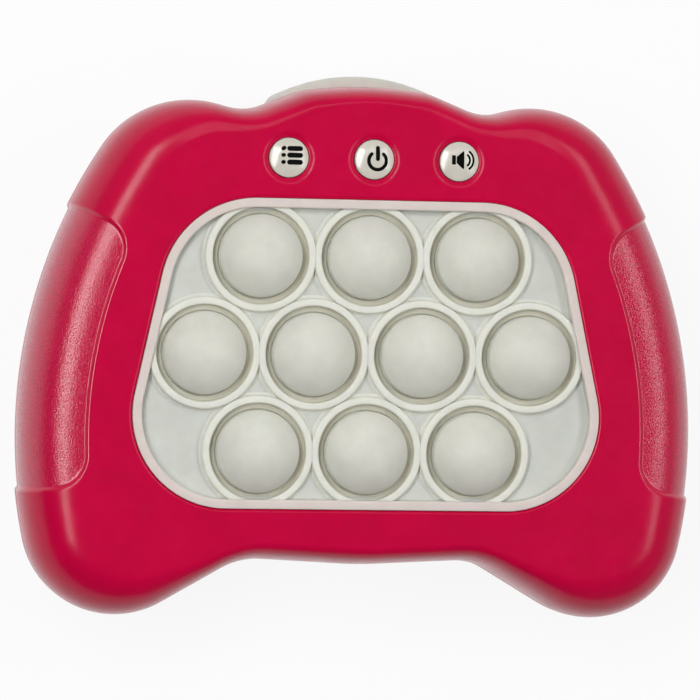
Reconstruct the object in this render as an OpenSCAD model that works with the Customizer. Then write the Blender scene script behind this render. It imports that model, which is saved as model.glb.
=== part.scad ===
// Handheld bubble memory game: a two-piece moulded case in the shape of a game pad, with a silicone
// keypad of ten bubbles, three small buttons, a sprung push bar at the top and a battery door behind.
// X runs across the grips, Y towards the push bar, Z out of the face. The back lies on Z = 0.

/* [Case] */
// Width across the two grips
body_w = 150; // [140:1:165]
// Length from the top of the hump to the ends of the grips
body_l = 116.2; // [112:0.1:125]
// Height of the front half, from the parting line to the face
front_h = 20; // [18:0.5:24]
// Height of the rear half, from the back to the parting line
rear_h = 20; // [19:0.5:24]
// Wall thickness of both halves
wall = 2.4; // [2:0.1:3]
// Width of the edge rounding at the hump and the saddle
edge_mid = 4.6; // [3.6:0.1:6]
// Width of the edge rounding along the grips
edge_side = 13; // [10:0.5:15]
// Squareness of the edge rounding, where 2 is an ellipse
edge_power = 2.5; // [2:0.1:3.2]
// Share of the half width from which the side's rounding is full
edge_reach = 0.8; // [0.75:0.01:0.82]

/* [Outline] */
// Radius of the hump's crown
hump_r = 86; // [60:1:120]
// Radius of the hump's corners
hump_corner_r = 13; // [9:0.5:15]
// Distance of the hump's corners from the middle
hump_corner_x = 10.5; // [10:0.5:13]
// Radius of the dips beside the hump
dip_r = 12.5; // [10:0.5:14]
// Distance of the dips from the middle
dip_x = 27; // [26:0.1:28]
// Drop from the hump to the dips
dip_drop = 5.4; // [4.6:0.1:6]
// Radius of the shoulders
shoulder_r = 22; // [19:0.5:23]
// Drop from the hump to the tops of the shoulders
shoulder_drop = 3.7; // [3:0.1:5]
// Radius of the long sides of the grips
side_r = 114; // [108:1:130]
// Height of the widest place above the grip ends
side_rise = 40; // [36:0.2:44]
// Radius of the grip ends
grip_r = 20; // [17:0.5:21]
// Radius of the saddle's corners
saddle_r = 16; // [12:0.5:18]
// Distance of the saddle's corners from the middle
saddle_x = 22; // [18:0.5:23]
// Rise from the grip ends to the saddle's corners
saddle_rise = 12.5; // [12:0.1:14]
// Radius of the shallow belly between the saddle's corners
belly_r = 80; // [70:1:130]
// Rise from the grip ends to the belly
belly_rise = 11.5; // [11:0.1:11.8]

/* [Grip panels] */
// Depth of the textured panels below the case
panel_depth = 0.6; // [0.3:0.1:0.9]
// Width of a panel on the face, from the side
panel_w = 14.7; // [13:0.1:18]
// Radius of a panel's corners
panel_corner_r = 7; // [4:0.5:7.5]
// Upper end of a panel, above the widest place
panel_top = 49.3; // [46:0.1:52]
// Lower end of a panel, below the widest place
panel_low = 13.2; // [8:0.1:14]

/* [Bubble keypad] */
// Diameter of a bubble
bubble_d = 17.8; // [16:0.1:18.2]
// Height of a bubble above the keypad's underside
bubble_h = 8.5; // [7:0.1:9]
// Wall of a bubble
bubble_wall = 1.6; // [1.2:0.1:2]
// Travel of a bubble
bubble_travel = 4.5; // [3:0.1:5]
// Distance between bubbles in a row
bubble_pitch = 23.65; // [23:0.05:25]
// Distance between rows
row_pitch = 21.05; // [20.5:0.05:22]
// Distance from the buttons down to the window
pad_drop = 8.7; // [8.7:0.1:10]
// Height of the window above the middle row
pad_top = 33.55; // [32:0.05:34]
// Height of the window below the middle row
pad_low = 33.45; // [33:0.05:34]
// Radius of the window's upper corners
pad_top_r = 21; // [18:0.5:23]
// Radius of the window's lower corners
pad_low_r = 20.4; // [18:0.1:22]
// Half width of the window at its upper corners
pad_top_w = 45.5; // [44:0.5:46]
// Half width of the window at its lower corners
pad_low_w = 51; // [49:0.5:52]
// Gap between the keypad and the window
pad_gap = 0.3; // [0.2:0.05:0.5]
// Thickness of the keypad's sheet
sheet_t = 1.6; // [1.2:0.1:2]
// Width of the keypad's flange behind the face
flange_w = 3; // [2.5:0.1:3.2]
// Width of the keypad's rim
rim_w = 1.8; // [1.4:0.1:2.4]
// Height of the rim above the face
rim_rise = 0.3; // [0:0.1:0.8]
// Outer diameter of the ring round a bubble
ring_d = 23.6; // [23:0.1:24]
// Width of a ring's crest
ring_w = 1.5; // [1.1:0.1:1.8]
// Depth of the rings' crests below the face
ring_drop = 0.7; // [0.3:0.1:1]
// Gap between a bubble and the foot of its well
well_gap = 0.35; // [0.3:0.05:0.5]
// Radius of the plunger under a bubble
plunger_r = 2.2; // [1.8:0.1:2.4]
// Length of the plunger below the keypad
plunger_l = 1.1; // [0.8:0.1:2]

/* [Keypad frame] */
// Thickness of the frame that clamps the keypad
frame_t = 2.4; // [2:0.1:3]
// Width of the frame outside the window
frame_out = 3.3; // [3.1:0.1:3.4]
// Width of the frame inside the window
frame_in = 1.2; // [0.6:0.1:1.4]
// Wall of the frame's tubular legs
leg_wall = 1.3; // [1:0.1:1.6]

/* [Buttons] */
// Diameter of a button
button_d = 8.5; // [7.5:0.1:9]
// Height of a button above the face
button_rise = 0.9; // [0.9:0.1:1.6]
// Crown of a button
button_crown = 0.5; // [0.2:0.1:0.8]
// Travel of a button
button_travel = 0.8; // [0.5:0.1:0.8]
// Distance between buttons
button_pitch = 18.6; // [17:0.1:20]
// Distance of the buttons below the top of the hump
button_drop = 16.5; // [16:0.1:17]
// Sideways place of the middle button
button_x = 0.5; // [-1.5:0.1:1.5]
// Diameter of the dish round a button
dish_d = 11; // [10.2:0.1:12]
// Depth of the dish
dish_depth = 0.5; // [0.3:0.1:0.8]
// Width of a button's retaining flange
button_flange = 0.75; // [0.5:0.05:0.8]
// Thickness of a button's retaining flange
button_flange_t = 1.1; // [0.8:0.1:1.3]
// Radius of a button's stem
button_stem_r = 1.8; // [1.5:0.1:2.2]

/* [Push bar] */
// How far the push bar stands out of the hump
bar_reach = 2.7; // [2.2:0.1:3.2]
// Width of the push bar
bar_w = 40; // [36:0.5:41]
// Height of the push bar
bar_h = 10; // [9:0.5:10.5]
// Radius of the push bar's front in plan
bar_r = 40; // [36:1:60]
// Height of the push bar's middle above the back
bar_z = 13; // [12:0.5:13.5]
// Travel of the push bar
bar_travel = 2.2; // [1.5:0.1:2.4]
// Rounding of the push bar's front edges
bar_round = 2; // [1:0.1:3]
// Depth of the guide sleeve, from the top of the hump
sleeve_l = 14; // [12:0.1:14.5]
// Wall of the guide sleeve
sleeve_wall = 1.6; // [1.2:0.1:2]
// Width of the push bar's stop flange beyond the sleeve's bore
bar_flange = 1.4; // [1:0.1:1.5]
// Thickness of the push bar's stop flange
bar_flange_t = 2; // [1.5:0.1:2.5]
// Length of a return spring
spring_l = 10.5; // [9:0.1:11]
// Radius of a return spring, to the middle of the wire
spring_r = 2.5; // [2:0.1:2.8]
// Wire of the springs
spring_wire = 0.6; // [0.4:0.1:0.7]
// Turns of a return spring
spring_turns = 6; // [5:1:8]
// Distance of the return springs from the middle
spring_x = 17.8; // [17.4:0.1:18.4]

/* [Board and parts on it] */
// Thickness of the board
board_t = 1.6; // [1.2:0.1:2]
// Width of the board outside the window
board_out = 9; // [8.6:0.1:9.5]
// Half width of the board's tongue under the buttons
tongue_w = 27; // [26:0.5:28.5]
// Length of the tongue beyond the buttons
tongue_l = 5; // [4:0.1:5.4]
// Width of the board below the window, where it is cut straight
board_low = 7.4; // [7:0.1:7.4]
// Room between the board and the saddle's wall
board_clear = 0.8; // [0.5:0.1:0.8]
// Distance of the board's bosses outside the window
boss_out = 6.2; // [6.1:0.1:6.6]
// Radius of the board's bosses
boss_r = 2.7; // [2.4:0.1:2.8]
// Width of a switch
switch_w = 6; // [5:0.1:6.2]
// Height of a switch's body
switch_body_h = 3.5; // [3:0.1:3.6]
// Height of a switch with its plunger
switch_h = 4.3; // [4:0.1:5]
// Radius of a switch's plunger
switch_plunger_r = 1.7; // [1.4:0.1:1.8]
// Free gap before a switch is reached
switch_gap = 0.2; // [0.1:0.05:0.4]
// Size of a light-emitting diode
led_w = 2.8; // [2:0.1:3]
// Height of a light-emitting diode
led_h = 1.9; // [1.2:0.1:2]
// Distance of a diode from its bubble's middle
led_x = 5; // [4.8:0.1:5.4]
// Size of the controller
chip_w = 10; // [8:0.5:12]
// Height of the controller
chip_h = 1.8; // [1.2:0.1:2]

/* [Screws] */
// Shank radius of the screws
screw_r = 1.15; // [1:0.05:1.2]
// Head radius of the screws
screw_head_r = 2.3; // [2:0.1:2.4]
// Head height of the screws
screw_head_h = 1.5; // [1.2:0.1:1.8]
// Clearance round a screw
screw_gap = 0.05; // [0.05:0.01:0.1]
// Radius of the case's screw columns
column_r = 3.6; // [3.3:0.1:3.8]
// Depth of the screw wells in the back
well_depth = 10; // [8:0.5:12]
// Distance of the upper case screws from the middle
upper_screw_x = 35; // [34:0.5:36]
// Distance of the upper case screws below the top of the hump
upper_screw_drop = 13.55; // [13:0.05:14]
// Distance of the lower case screws from the sides
lower_screw_in = 20.5; // [19:0.5:22]
// Distance of the lower case screws above the grip ends
lower_screw_rise = 18.45; // [17:0.05:20]

/* [Battery bay] */
// Diameter of a battery
battery_d = 10.5; // [10:0.1:10.6]
// Length of a battery with its nub
battery_l = 44.5; // [43:0.1:45]
// Room round a battery
battery_gap = 0.6; // [0.5:0.05:0.7]
// Length of the contact springs
contact_l = 5; // [4:0.1:6]
// Turns of a contact spring
contact_turns = 4; // [3:1:5]
// Thickness of the contact plates
contact_t = 0.5; // [0.3:0.1:0.8]
// Width of a contact plate
plate_w = 8.5; // [7:0.1:9]
// Diameter of a battery's nub
nub_d = 3.8; // [3:0.1:4]
// Length of a battery's nub
nub_l = 1; // [0.8:0.1:1.2]
// Wall of the bay
bay_wall = 1.4; // [1.2:0.1:1.8]
// Place of the bay's middle
bay_y = -19; // [-20:0.1:-18.5]
// Thickness of the battery door
door_t = 1.4; // [1.2:0.1:1.5]
// Overlap of the door on its ledge
door_lap = 2.2; // [1.8:0.1:2.5]
// Gap round the door
door_gap = 0.2; // [0.15:0.05:0.3]
// Corner radius of the door
door_r = 3; // [2:0.5:4]
// Radius of the door's screw ear
door_ear_r = 5; // [4.5:0.1:5.2]

/* [Speaker] */
// Diameter of the speaker
speaker_d = 28; // [24:0.5:29]
// Height of the speaker's frame
speaker_frame_h = 2; // [1.5:0.1:3]
// Diameter of the speaker's magnet
magnet_d = 15; // [12:0.5:18]
// Height of the speaker's magnet
magnet_h = 3.4; // [2.5:0.1:4]
// Place of the speaker's middle
speaker_y = 21.2; // [21:0.1:22]
// Width of the rib round the speaker
speaker_rib = 1.2; // [1:0.1:1.4]
// Radius of the grille
grille_r = 8.4; // [6:0.1:8.8]
// Diameter of a grille hole
grille_d = 2.2; // [1.6:0.1:2.4]
// Distance between grille holes
grille_pitch = 4; // [3.6:0.1:4.4]

/* [Hidden] */
$fn = 64;
// Overlap of pieces that are fused, the overshoot of cuts and the room round loose inner pieces
eps = 1;
// Overshoot of cuts whose taper has to stay
thin = 0.01;
// Overlap of rounds with the lines and arcs that touch them
touch = 0.01;
// Clearance of pieces that slide on each other
slide_gap = 0.3;

// Colours
case_colour = "#c4003f";
silicone_colour = "#dedfd7";
white_colour = "#e6e1d8";
board_colour = "#1f6b3a";
metal_colour = "#b9bcc0";
dark_colour = "#2a2c30";

// Levels from the back to the face
part_z = rear_h;
face_z = rear_h + front_h;
inner_z = face_z - wall;
sheet_z = inner_z - sheet_t;
frame_z = sheet_z - frame_t;
bubble_top_z = sheet_z + bubble_h;
plunger_z = sheet_z - plunger_l;
switch_top_z = plunger_z - bubble_travel - switch_gap;
board_top_z = switch_top_z - switch_h;
board_z = board_top_z - board_t;

// Lines along Y, with the whole length centred on the origin
total_l = body_l + bar_reach;
hump_y = total_l / 2 - bar_reach;
grip_end_y = -total_l / 2;
side_y = grip_end_y + side_rise;
button_y = hump_y - button_drop;

// The keypad keeps its drawn size where the case is long enough, and otherwise shrinks in plan, so that
// its frame stays below the buttons and the board stays off the saddle's wall
saddle_y = grip_end_y + saddle_rise;
pad_room = button_y - pad_drop - saddle_y - wall - board_clear - board_low;
pad_k = min(1, pad_room / (pad_top + pad_low));
pad_y = button_y - pad_drop - pad_k * pad_top;
board_low_y = pad_y - pad_k * pad_low - board_low;
top_r = pad_k * pad_top_r;
low_r = pad_k * pad_low_r;
bubble_r = pad_k * bubble_d / 2;
ring_r = pad_k * ring_d / 2;

// Circles that the outline follows anticlockwise from the middle of the belly to the middle of the
// hump: centre, signed radius (negative where the outline is hollow) and steps along the arc
side_c = [body_w / 2 - side_r, side_y];
function inside_side(y, r) = side_c[0] + sqrt(pow(side_r - r, 2) - pow(y - side_y, 2));
grip_c = [inside_side(grip_end_y + grip_r, grip_r), grip_end_y + grip_r];
shoulder_top_y = hump_y - shoulder_drop;
shoulder_c = [inside_side(shoulder_top_y - shoulder_r, shoulder_r), shoulder_top_y - shoulder_r];
hump_c = [0, hump_y - hump_r];
hump_corner_c = [hump_corner_x, hump_c[1] + sqrt(pow(hump_r - hump_corner_r, 2) - pow(hump_corner_x, 2))];
OUTLINE = [
    [[0, grip_end_y + belly_rise + belly_r], belly_r, 2],
    [[saddle_x, saddle_y - saddle_r], -saddle_r, 5],
    [grip_c, grip_r, 11],
    [side_c, side_r, 11],
    [shoulder_c, shoulder_r, 8],
    [[dip_x, hump_y - dip_drop + dip_r], -dip_r, 5],
    [hump_corner_c, hump_corner_r, 4],
    [hump_c, hump_r, 2],
];
last_arc = len(OUTLINE) - 1;

function clamp(v, low, high) = min(max(v, low), high);
function smooth(v) = let (t = clamp(v, 0, 1)) t * t * (3 - 2 * t);
function turn(a) = a < -90 ? a + 360 : a;
function heading(a, b) =
    let (d = b[0] - a[0])
    turn(atan2(d[1], d[0]) - asin(clamp((b[1] - a[1]) / norm(d), -1, 1)));
function arc_start(i) = i == 0 ? 0 : heading(OUTLINE[i - 1], OUTLINE[i]);
function arc_end(i) = i == last_arc ? 180 : heading(OUTLINE[i], OUTLINE[i + 1]);
// A station is a point of the outline with its outward direction
function arc_stations(i) =
    let (c = OUTLINE[i], a = arc_start(i), b = arc_end(i))
    [for (k = [0:c[2]]) let (h = a + (b - a) * k / c[2], n = [sin(h), -cos(h)]) [c[0] + c[1] * n, n]];
// Arcs share their end points, so a station that repeats the one before it is left out
same_point = 0.2;
function joined(list) =
    [for (i = [0:len(list) - 1]) if (i == 0 || norm(list[i][0] - list[i - 1][0]) > same_point) list[i]];
right_side = joined([for (i = [0:last_arc]) each arc_stations(i)]);
function flip(p) = [-p[0], p[1]];
left_side = [for (i = [len(right_side) - 2:-1:1]) [for (v = right_side[i]) flip(v)]];
STATIONS = concat(right_side, left_side);
stations_n = len(STATIONS);

// Width of the edge rounding at a place across the case
function edge_at(x) =
    edge_mid + (edge_side - edge_mid) * smooth((abs(x) - dip_x) / (edge_reach * body_w / 2 - dip_x));
function round_in(t) = 1 - pow(cos(t), 2 / edge_power);
function round_up(t) = t >= 90 ? 1 : pow(sin(t), 2 / edge_power);
OUTER_STEPS = [0, 9, 20, 32, 44, 56, 67, 76, 83, 90];
INNER_STEPS = [0, 20, 44, 67, 90];
function ring(inset, width, z) =
    [for (s = STATIONS) let (p = s[0] - s[1] * (inset + width(edge_at(s[0][0])))) [p[0], p[1], z]];
function outer_ring(t, h) = ring(0, function (e) e * round_in(t), h * round_up(t));
function inner_ring(t, h) =
    ring(wall, function (e) max(e - wall, wall / 2) * round_in(t), (h - wall) * round_up(t));

// One half of the case as an open shell: its rim on Z = 0 and its flat side up
module half_shell(h) {
    outer = [for (t = OUTER_STEPS) outer_ring(t, h)];
    inner = [for (t = INNER_STEPS) inner_ring(t, h)];
    n = stations_n;
    outer_n = len(outer);
    inner_n = len(inner);
    base = outer_n * n;
    sides = [for (k = [0:outer_n - 2]) for (i = [0:n - 1]) let (j = (i + 1) % n)
        each [[k * n + i, (k + 1) * n + i, (k + 1) * n + j], [k * n + i, (k + 1) * n + j, k * n + j]]];
    linings = [for (k = [0:inner_n - 2]) for (i = [0:n - 1]) let (j = (i + 1) % n, a = base + k * n)
        each [[a + i, a + n + j, a + n + i], [a + i, a + j, a + n + j]]];
    rim = [for (i = [0:n - 1]) let (j = (i + 1) % n)
        each [[i, j, base + j], [i, base + j, base + i]]];
    face = [for (i = [n - 1:-1:0]) (outer_n - 1) * n + i];
    ceiling = [for (i = [0:n - 1]) base + (inner_n - 1) * n + i];
    polyhedron(
        points = concat([for (r = outer) each r], [for (r = inner) each r]),
        faces = concat(sides, linings, rim, [face], [ceiling]),
        convexity = 8
    );
}

// Plan of a grip panel on the right: a band along the side with two round corners
panel_r = side_r - panel_w;
panel_top_a = asin(panel_top / side_r);
panel_low_a = -asin(panel_low / side_r);
corner_a = asin(panel_corner_r / (panel_r + panel_corner_r));
module side_wedge(a, b) {
    far = 2 * side_r;
    polygon([[0, 0], far * [cos(a), sin(a)], far * [cos(b), sin(b)]]);
}
module side_band(from_r, a, b) {
    difference() {
        intersection() {
            circle(r = side_r + eps, $fn = 180);
            side_wedge(a, b);
        }
        circle(r = from_r, $fn = 180);
    }
}
module panel_plan() {
    translate(side_c) {
        side_band(panel_r, panel_low_a + corner_a, panel_top_a - corner_a);
        side_band(panel_r + panel_corner_r, panel_low_a, panel_top_a);
        for (a = [panel_low_a + corner_a, panel_top_a - corner_a])
            rotate(a) translate([panel_r + panel_corner_r, 0]) circle(r = panel_corner_r + touch);
    }
}
// Space that the panels leave outside the case, a revolve about the middle of the side's arc
module panel_cut() {
    last = len(OUTER_STEPS) - 1;
    function cut_point(t, h, way) =
        [side_r - panel_depth - edge_side * round_in(t), part_z + way * (h - panel_depth) * round_up(t)];
    front = [for (i = [last:-1:0]) cut_point(OUTER_STEPS[i], front_h, 1)];
    rear = [for (i = [1:last]) cut_point(OUTER_STEPS[i], rear_h, -1)];
    sweep_a = panel_top_a - panel_low_a + 2 * corner_a;
    deep_r = panel_r - eps;
    profile = concat(
        [[deep_r, face_z + eps], [deep_r, face_z - panel_depth]], front, rear,
        [[deep_r, panel_depth], [deep_r, -eps], [side_r + eps, -eps], [side_r + eps, face_z + eps]]
    );
    for (side = [0, 1]) mirror([side, 0, 0]) intersection() {
        translate([side_c[0], side_c[1], 0])
            rotate(panel_low_a - corner_a)
                rotate_extrude(angle = sweep_a, $fn = 180) polygon(profile);
        translate([0, 0, -2 * eps]) linear_extrude(face_z + 4 * eps) panel_plan();
    }
}

// Window outline, grown outwards by a distance: four circles and the lines that touch them
upper_c = [pad_k * pad_top_w - top_r, pad_y + pad_k * pad_top - top_r];
lower_c = [pad_k * pad_low_w - low_r, pad_y - pad_k * pad_low + low_r];
window_v = lower_c - upper_c;
window_a = atan2(window_v[1], window_v[0]) + acos((top_r - low_r) / norm(window_v));
window_n = [cos(window_a), sin(window_a)];
module window_plan(grow = 0) {
    upper_r = top_r + grow;
    lower_r = low_r + grow;
    right = [
        upper_c + [0, upper_r], upper_c + upper_r * window_n,
        lower_c + lower_r * window_n, lower_c - [0, lower_r]
    ];
    polygon(concat(right, [for (i = [3:-1:0]) flip(right[i])]));
    for (side = [-1, 1]) {
        translate([side * upper_c[0], upper_c[1]]) circle(r = upper_r + touch);
        translate([side * lower_c[0], lower_c[1]]) circle(r = lower_r + touch);
    }
}

// Places that repeat
ROWS = [3, 4, 3];
BUBBLES = [for (r = [0:2]) for (i = [0:ROWS[r] - 1])
    [(i - (ROWS[r] - 1) / 2) * pad_k * bubble_pitch, pad_y + (1 - r) * pad_k * row_pitch]];
BUTTONS = [for (i = [-1:1]) [button_x + i * button_pitch, button_y]];
diagonal = [cos(45), sin(45)];
upper_boss = upper_c + (top_r + boss_out) * diagonal;
lower_boss = lower_c + (low_r + boss_out) * [diagonal[0], -diagonal[1]];
BOSSES = [upper_boss, flip(upper_boss), lower_boss, flip(lower_boss)];
upper_screw = [upper_screw_x, hump_y - upper_screw_drop];
lower_screw = [body_w / 2 - lower_screw_in, grip_end_y + lower_screw_rise];
CASE_SCREWS = [upper_screw, flip(upper_screw), lower_screw, flip(lower_screw)];
module at(places, z = 0) {
    for (p = places) translate([p[0], p[1], z]) children();
}
module tube(outer_r, inner_r, h) {
    difference() {
        cylinder(r = outer_r, h = h);
        translate([0, 0, -eps]) cylinder(r = inner_r, h = h + 2 * eps);
    }
}
module screw(length) {
    translate([0, 0, -screw_head_h]) difference() {
        cylinder(r = screw_head_r, h = screw_head_h);
        translate([0, 0, -eps]) cylinder(r = screw_head_r / 2, h = eps + screw_head_h / 2, $fn = 6);
    }
    translate([0, 0, -screw_head_h / 4]) cylinder(r = screw_r, h = length + screw_head_h / 4);
}
pilot_r = screw_r + screw_gap;
// How far the front columns sink into the face
column_sink = 0.3;
// Depth of the board's pilot bores, and the room left under a screw's tip
board_pilot_l = 5;
tip_gap = 0.5;

// Buttons: the flange hangs below the face, and the stem reaches down to its switch
button_r = button_d / 2;
button_bore_r = button_r + slide_gap / 2;
button_flange_z = inner_z - slide_gap;
button_stem_z = switch_top_z + button_travel + switch_gap;

// Push bar and its guide
sleeve_bore_w = bar_w + 2 * slide_gap;
sleeve_bore_h = bar_h + 2 * slide_gap;
sleeve_back_y = hump_y - sleeve_l;
sleeve_inset = 0.6 * wall;
bar_front_y = hump_y + bar_reach;
bar_flange_y = sleeve_back_y - slide_gap - bar_flange_t;
spring_seat_y = bar_flange_y - spring_l;
seat_t = 2;
seat_w = 2 * (spring_r + spring_wire + slide_gap);
finger_w = 4;
finger_top_z = board_z - eps;
bar_switch_h = board_z - bar_z - bar_h / 2 - 2 * eps;
bar_plunger_z = finger_top_z - switch_plunger_r - slide_gap;
bar_switch_y = bar_flange_y - bar_travel - switch_gap - (switch_h - switch_body_h) - switch_w;

// Battery bay
bay_l = battery_l + contact_l + contact_t + battery_gap;
bay_w = 3 * (battery_d + battery_gap);
bay_h = door_t + battery_d + 2 * battery_gap;
battery_z = door_t + battery_gap + battery_d / 2;
BATTERY_ROWS = [for (i = [-1:1]) bay_y + i * (battery_d + battery_gap)];
battery_x = -bay_l / 2 + contact_l;
door_w = bay_l + 2 * door_lap;
door_l = bay_w + 2 * door_lap;
door_ear_y = bay_y + door_l / 2 + door_ear_r / 4;
door_boss_h = 8;
door_boss_r = 3;
module door_plan(grow) {
    r = door_r + grow;
    x = door_w / 2 - door_r;
    y = door_l / 2 - door_r;
    translate([0, bay_y]) {
        square([2 * x, 2 * (y + r)], center = true);
        square([2 * (x + r), 2 * y], center = true);
        for (sx = [-x, x]) for (sy = [-y, y]) translate([sx, sy]) circle(r = r);
    }
    translate([0, door_ear_y]) circle(r = door_ear_r + grow);
}

// Speaker
speaker_r = speaker_d / 2;
speaker_gap = 0.2;
speaker_bore_r = speaker_r + speaker_gap;
speaker_rib_h = 2 * speaker_frame_h;
GRILLE = [for (i = [-2:2]) for (j = [-2:2]) let (p = grille_pitch * [i + j / 2, j * sin(60)])
    if (norm(p) < grille_r) p + [0, speaker_y]];

// Tube swept along a route, and a coil spring along Z
function unit(v) = v / norm(v);
function sweep_dir(path, i) =
    unit(path[min(i + 1, len(path) - 1)] - path[max(i - 1, 0)]);
function sweep_ring(p, d, r, sides) =
    let (a = abs(d[2]) < 0.9 ? [0, 0, 1] : [1, 0, 0], u = unit(cross(a, d)), v = cross(d, u))
    [for (k = [0:sides - 1]) let (t = 360 * k / sides) p + r * (cos(t) * u + sin(t) * v)];
module sweep(path, r, sides) {
    n = len(path);
    points = [for (i = [0:n - 1]) each sweep_ring(path[i], sweep_dir(path, i), r, sides)];
    walls = [for (i = [0:n - 2]) for (k = [0:sides - 1])
        let (j = (k + 1) % sides, a = i * sides, b = a + sides)
        each [[a + k, b + k, b + j], [a + k, b + j, a + j]]];
    first = [for (k = [0:sides - 1]) k];
    last = [for (k = [sides - 1:-1:0]) (n - 1) * sides + k];
    polyhedron(points = points, faces = concat(walls, [first], [last]), convexity = 6);
}
coil_rings = 8;
function coil_path(r, l, turns) =
    [for (i = [0:turns * coil_rings]) let (t = 360 * i / coil_rings)
        [r * cos(t), r * sin(t), spring_wire / 2 + (l - spring_wire) * i / (turns * coil_rings)]];
module coil(r, l, turns) {
    sweep(coil_path(r, l, turns), spring_wire / 2, 6);
}
// Leads leave straight and end upright under the board
lead_r = 0.8;
lead_gap = 0.2;
lead_bend = 8;
lead_steps = 8;
function lead_path(from, out, to) =
    [for (i = [0:lead_steps]) let (t = i / lead_steps, u = 1 - t)
        u * u * u * from + 3 * u * u * t * (from + lead_bend * out)
        + 3 * u * t * t * (to - [0, 0, lead_bend]) + t * t * t * to];
speaker_lead_from = [magnet_d / 2, speaker_y + magnet_d / 2, wall + speaker_frame_h + lead_gap];
speaker_lead_to = [11, button_y - lead_bend, board_z - lead_gap];
battery_lead_from = [20, bay_y + bay_w / 2 + bay_wall + lead_gap, bay_h - 4];
battery_lead_to = [20, 10, board_z - lead_gap];

module front_shell() {
    color(case_colour) difference() {
        union() {
            translate([0, 0, part_z]) half_shell(front_h);
            at(BOSSES, board_top_z) cylinder(r = boss_r, h = inner_z + eps - board_top_z);
            at(CASE_SCREWS, part_z) cylinder(r = column_r, h = inner_z + column_sink - part_z);
        }
        translate([0, 0, inner_z - eps]) linear_extrude(wall + 2 * eps) window_plan();
        at(BUTTONS, inner_z - eps) cylinder(r = button_bore_r, h = wall + 2 * eps);
        at(BUTTONS, face_z - dish_depth)
            cylinder(r1 = button_bore_r + slide_gap, r2 = dish_d / 2, h = dish_depth + thin);
        at(BOSSES, board_top_z - eps) cylinder(r = pilot_r, h = board_pilot_l + eps);
        at(CASE_SCREWS, part_z - eps) cylinder(r = pilot_r, h = well_depth + eps);
        panel_cut();
    }
}

module rear_shell() {
    bay_top = bay_h + bay_wall;
    color(case_colour) difference() {
        union() {
            translate([0, 0, part_z]) mirror([0, 0, 1]) half_shell(rear_h);
            at(CASE_SCREWS, wall / 2) cylinder(r = column_r, h = part_z - wall / 2);
            translate([-bay_l / 2 - bay_wall, bay_y - bay_w / 2 - bay_wall, wall / 2])
                cube([bay_l + 2 * bay_wall, bay_w + 2 * bay_wall, bay_top - wall / 2]);
            translate([0, door_ear_y, wall / 2]) cylinder(r = door_boss_r, h = door_boss_h);
            translate([0, speaker_y, wall / 2])
                tube(speaker_bore_r + speaker_rib, speaker_bore_r, wall / 2 + speaker_rib_h);
            sleeve();
            for (side = [-1, 1])
                translate([side * spring_x - seat_w / 2, spring_seat_y - seat_t, wall / 2])
                    cube([seat_w, seat_t, bar_z + spring_r + spring_wire - wall / 2]);
        }
        translate([-sleeve_bore_w / 2, sleeve_back_y - eps, bar_z - sleeve_bore_h / 2])
            cube([sleeve_bore_w, total_l, sleeve_bore_h]);
        translate([-bay_l / 2, bay_y - bay_w / 2, -eps]) cube([bay_l, bay_w, bay_h + eps]);
        translate([0, 0, -eps]) linear_extrude(door_t + eps) door_plan(door_gap);
        translate([0, door_ear_y, 0]) cylinder(r = pilot_r, h = door_boss_h);
        at(GRILLE, -eps) cylinder(d = grille_d, h = wall + 2 * eps, $fn = 24);
        at(CASE_SCREWS, -eps) cylinder(r = screw_head_r + slide_gap, h = well_depth + eps);
        at(CASE_SCREWS, -eps) cylinder(r = pilot_r + slide_gap, h = part_z + 2 * eps);
        panel_cut();
    }
}
// Guide of the push bar, fused to the wall of the hump
module sleeve() {
    w = sleeve_bore_w + 2 * sleeve_wall;
    h = sleeve_bore_h + 2 * sleeve_wall;
    translate([0, 0, bar_z - h / 2]) linear_extrude(h) intersection() {
        polygon([for (s = STATIONS) s[0] - s[1] * sleeve_inset]);
        translate([-w / 2, sleeve_back_y]) square([w, sleeve_l]);
    }
}

module bubble_pad() {
    crest_z = face_z - ring_drop;
    foot_r = bubble_r + well_gap;
    crest_r = ring_r - ring_w;
    color(silicone_colour) difference() {
        union() {
            translate([0, 0, sheet_z]) linear_extrude(sheet_t) window_plan(flange_w);
            translate([0, 0, sheet_z]) linear_extrude(face_z + rim_rise - sheet_z) difference() {
                window_plan(-pad_gap);
                window_plan(-pad_gap - rim_w);
            }
            intersection() {
                at(BUBBLES, sheet_z) cylinder(r = ring_r, h = crest_z - sheet_z);
                translate([0, 0, sheet_z]) linear_extrude(sheet_t + wall) window_plan(-pad_gap - rim_w / 2);
            }
        }
        at(BUBBLES, sheet_z) cylinder(r1 = foot_r, r2 = crest_r, h = crest_z - sheet_z);
        at(BUBBLES, sheet_z - eps) cylinder(r = foot_r, h = 2 * eps);
        at(BUBBLES, crest_z) cylinder(r = crest_r, h = wall);
    }
}

module pad_frame() {
    color(white_colour) difference() {
        union() {
            translate([0, 0, frame_z]) linear_extrude(frame_t) difference() {
                window_plan(frame_out);
                window_plan(-frame_in);
            }
            at(BOSSES, board_top_z) cylinder(r = boss_r + slide_gap + leg_wall, h = sheet_z - board_top_z);
        }
        at(BOSSES, board_top_z - eps) cylinder(r = boss_r + slide_gap, h = sheet_z - board_top_z + 2 * eps);
    }
}

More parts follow.
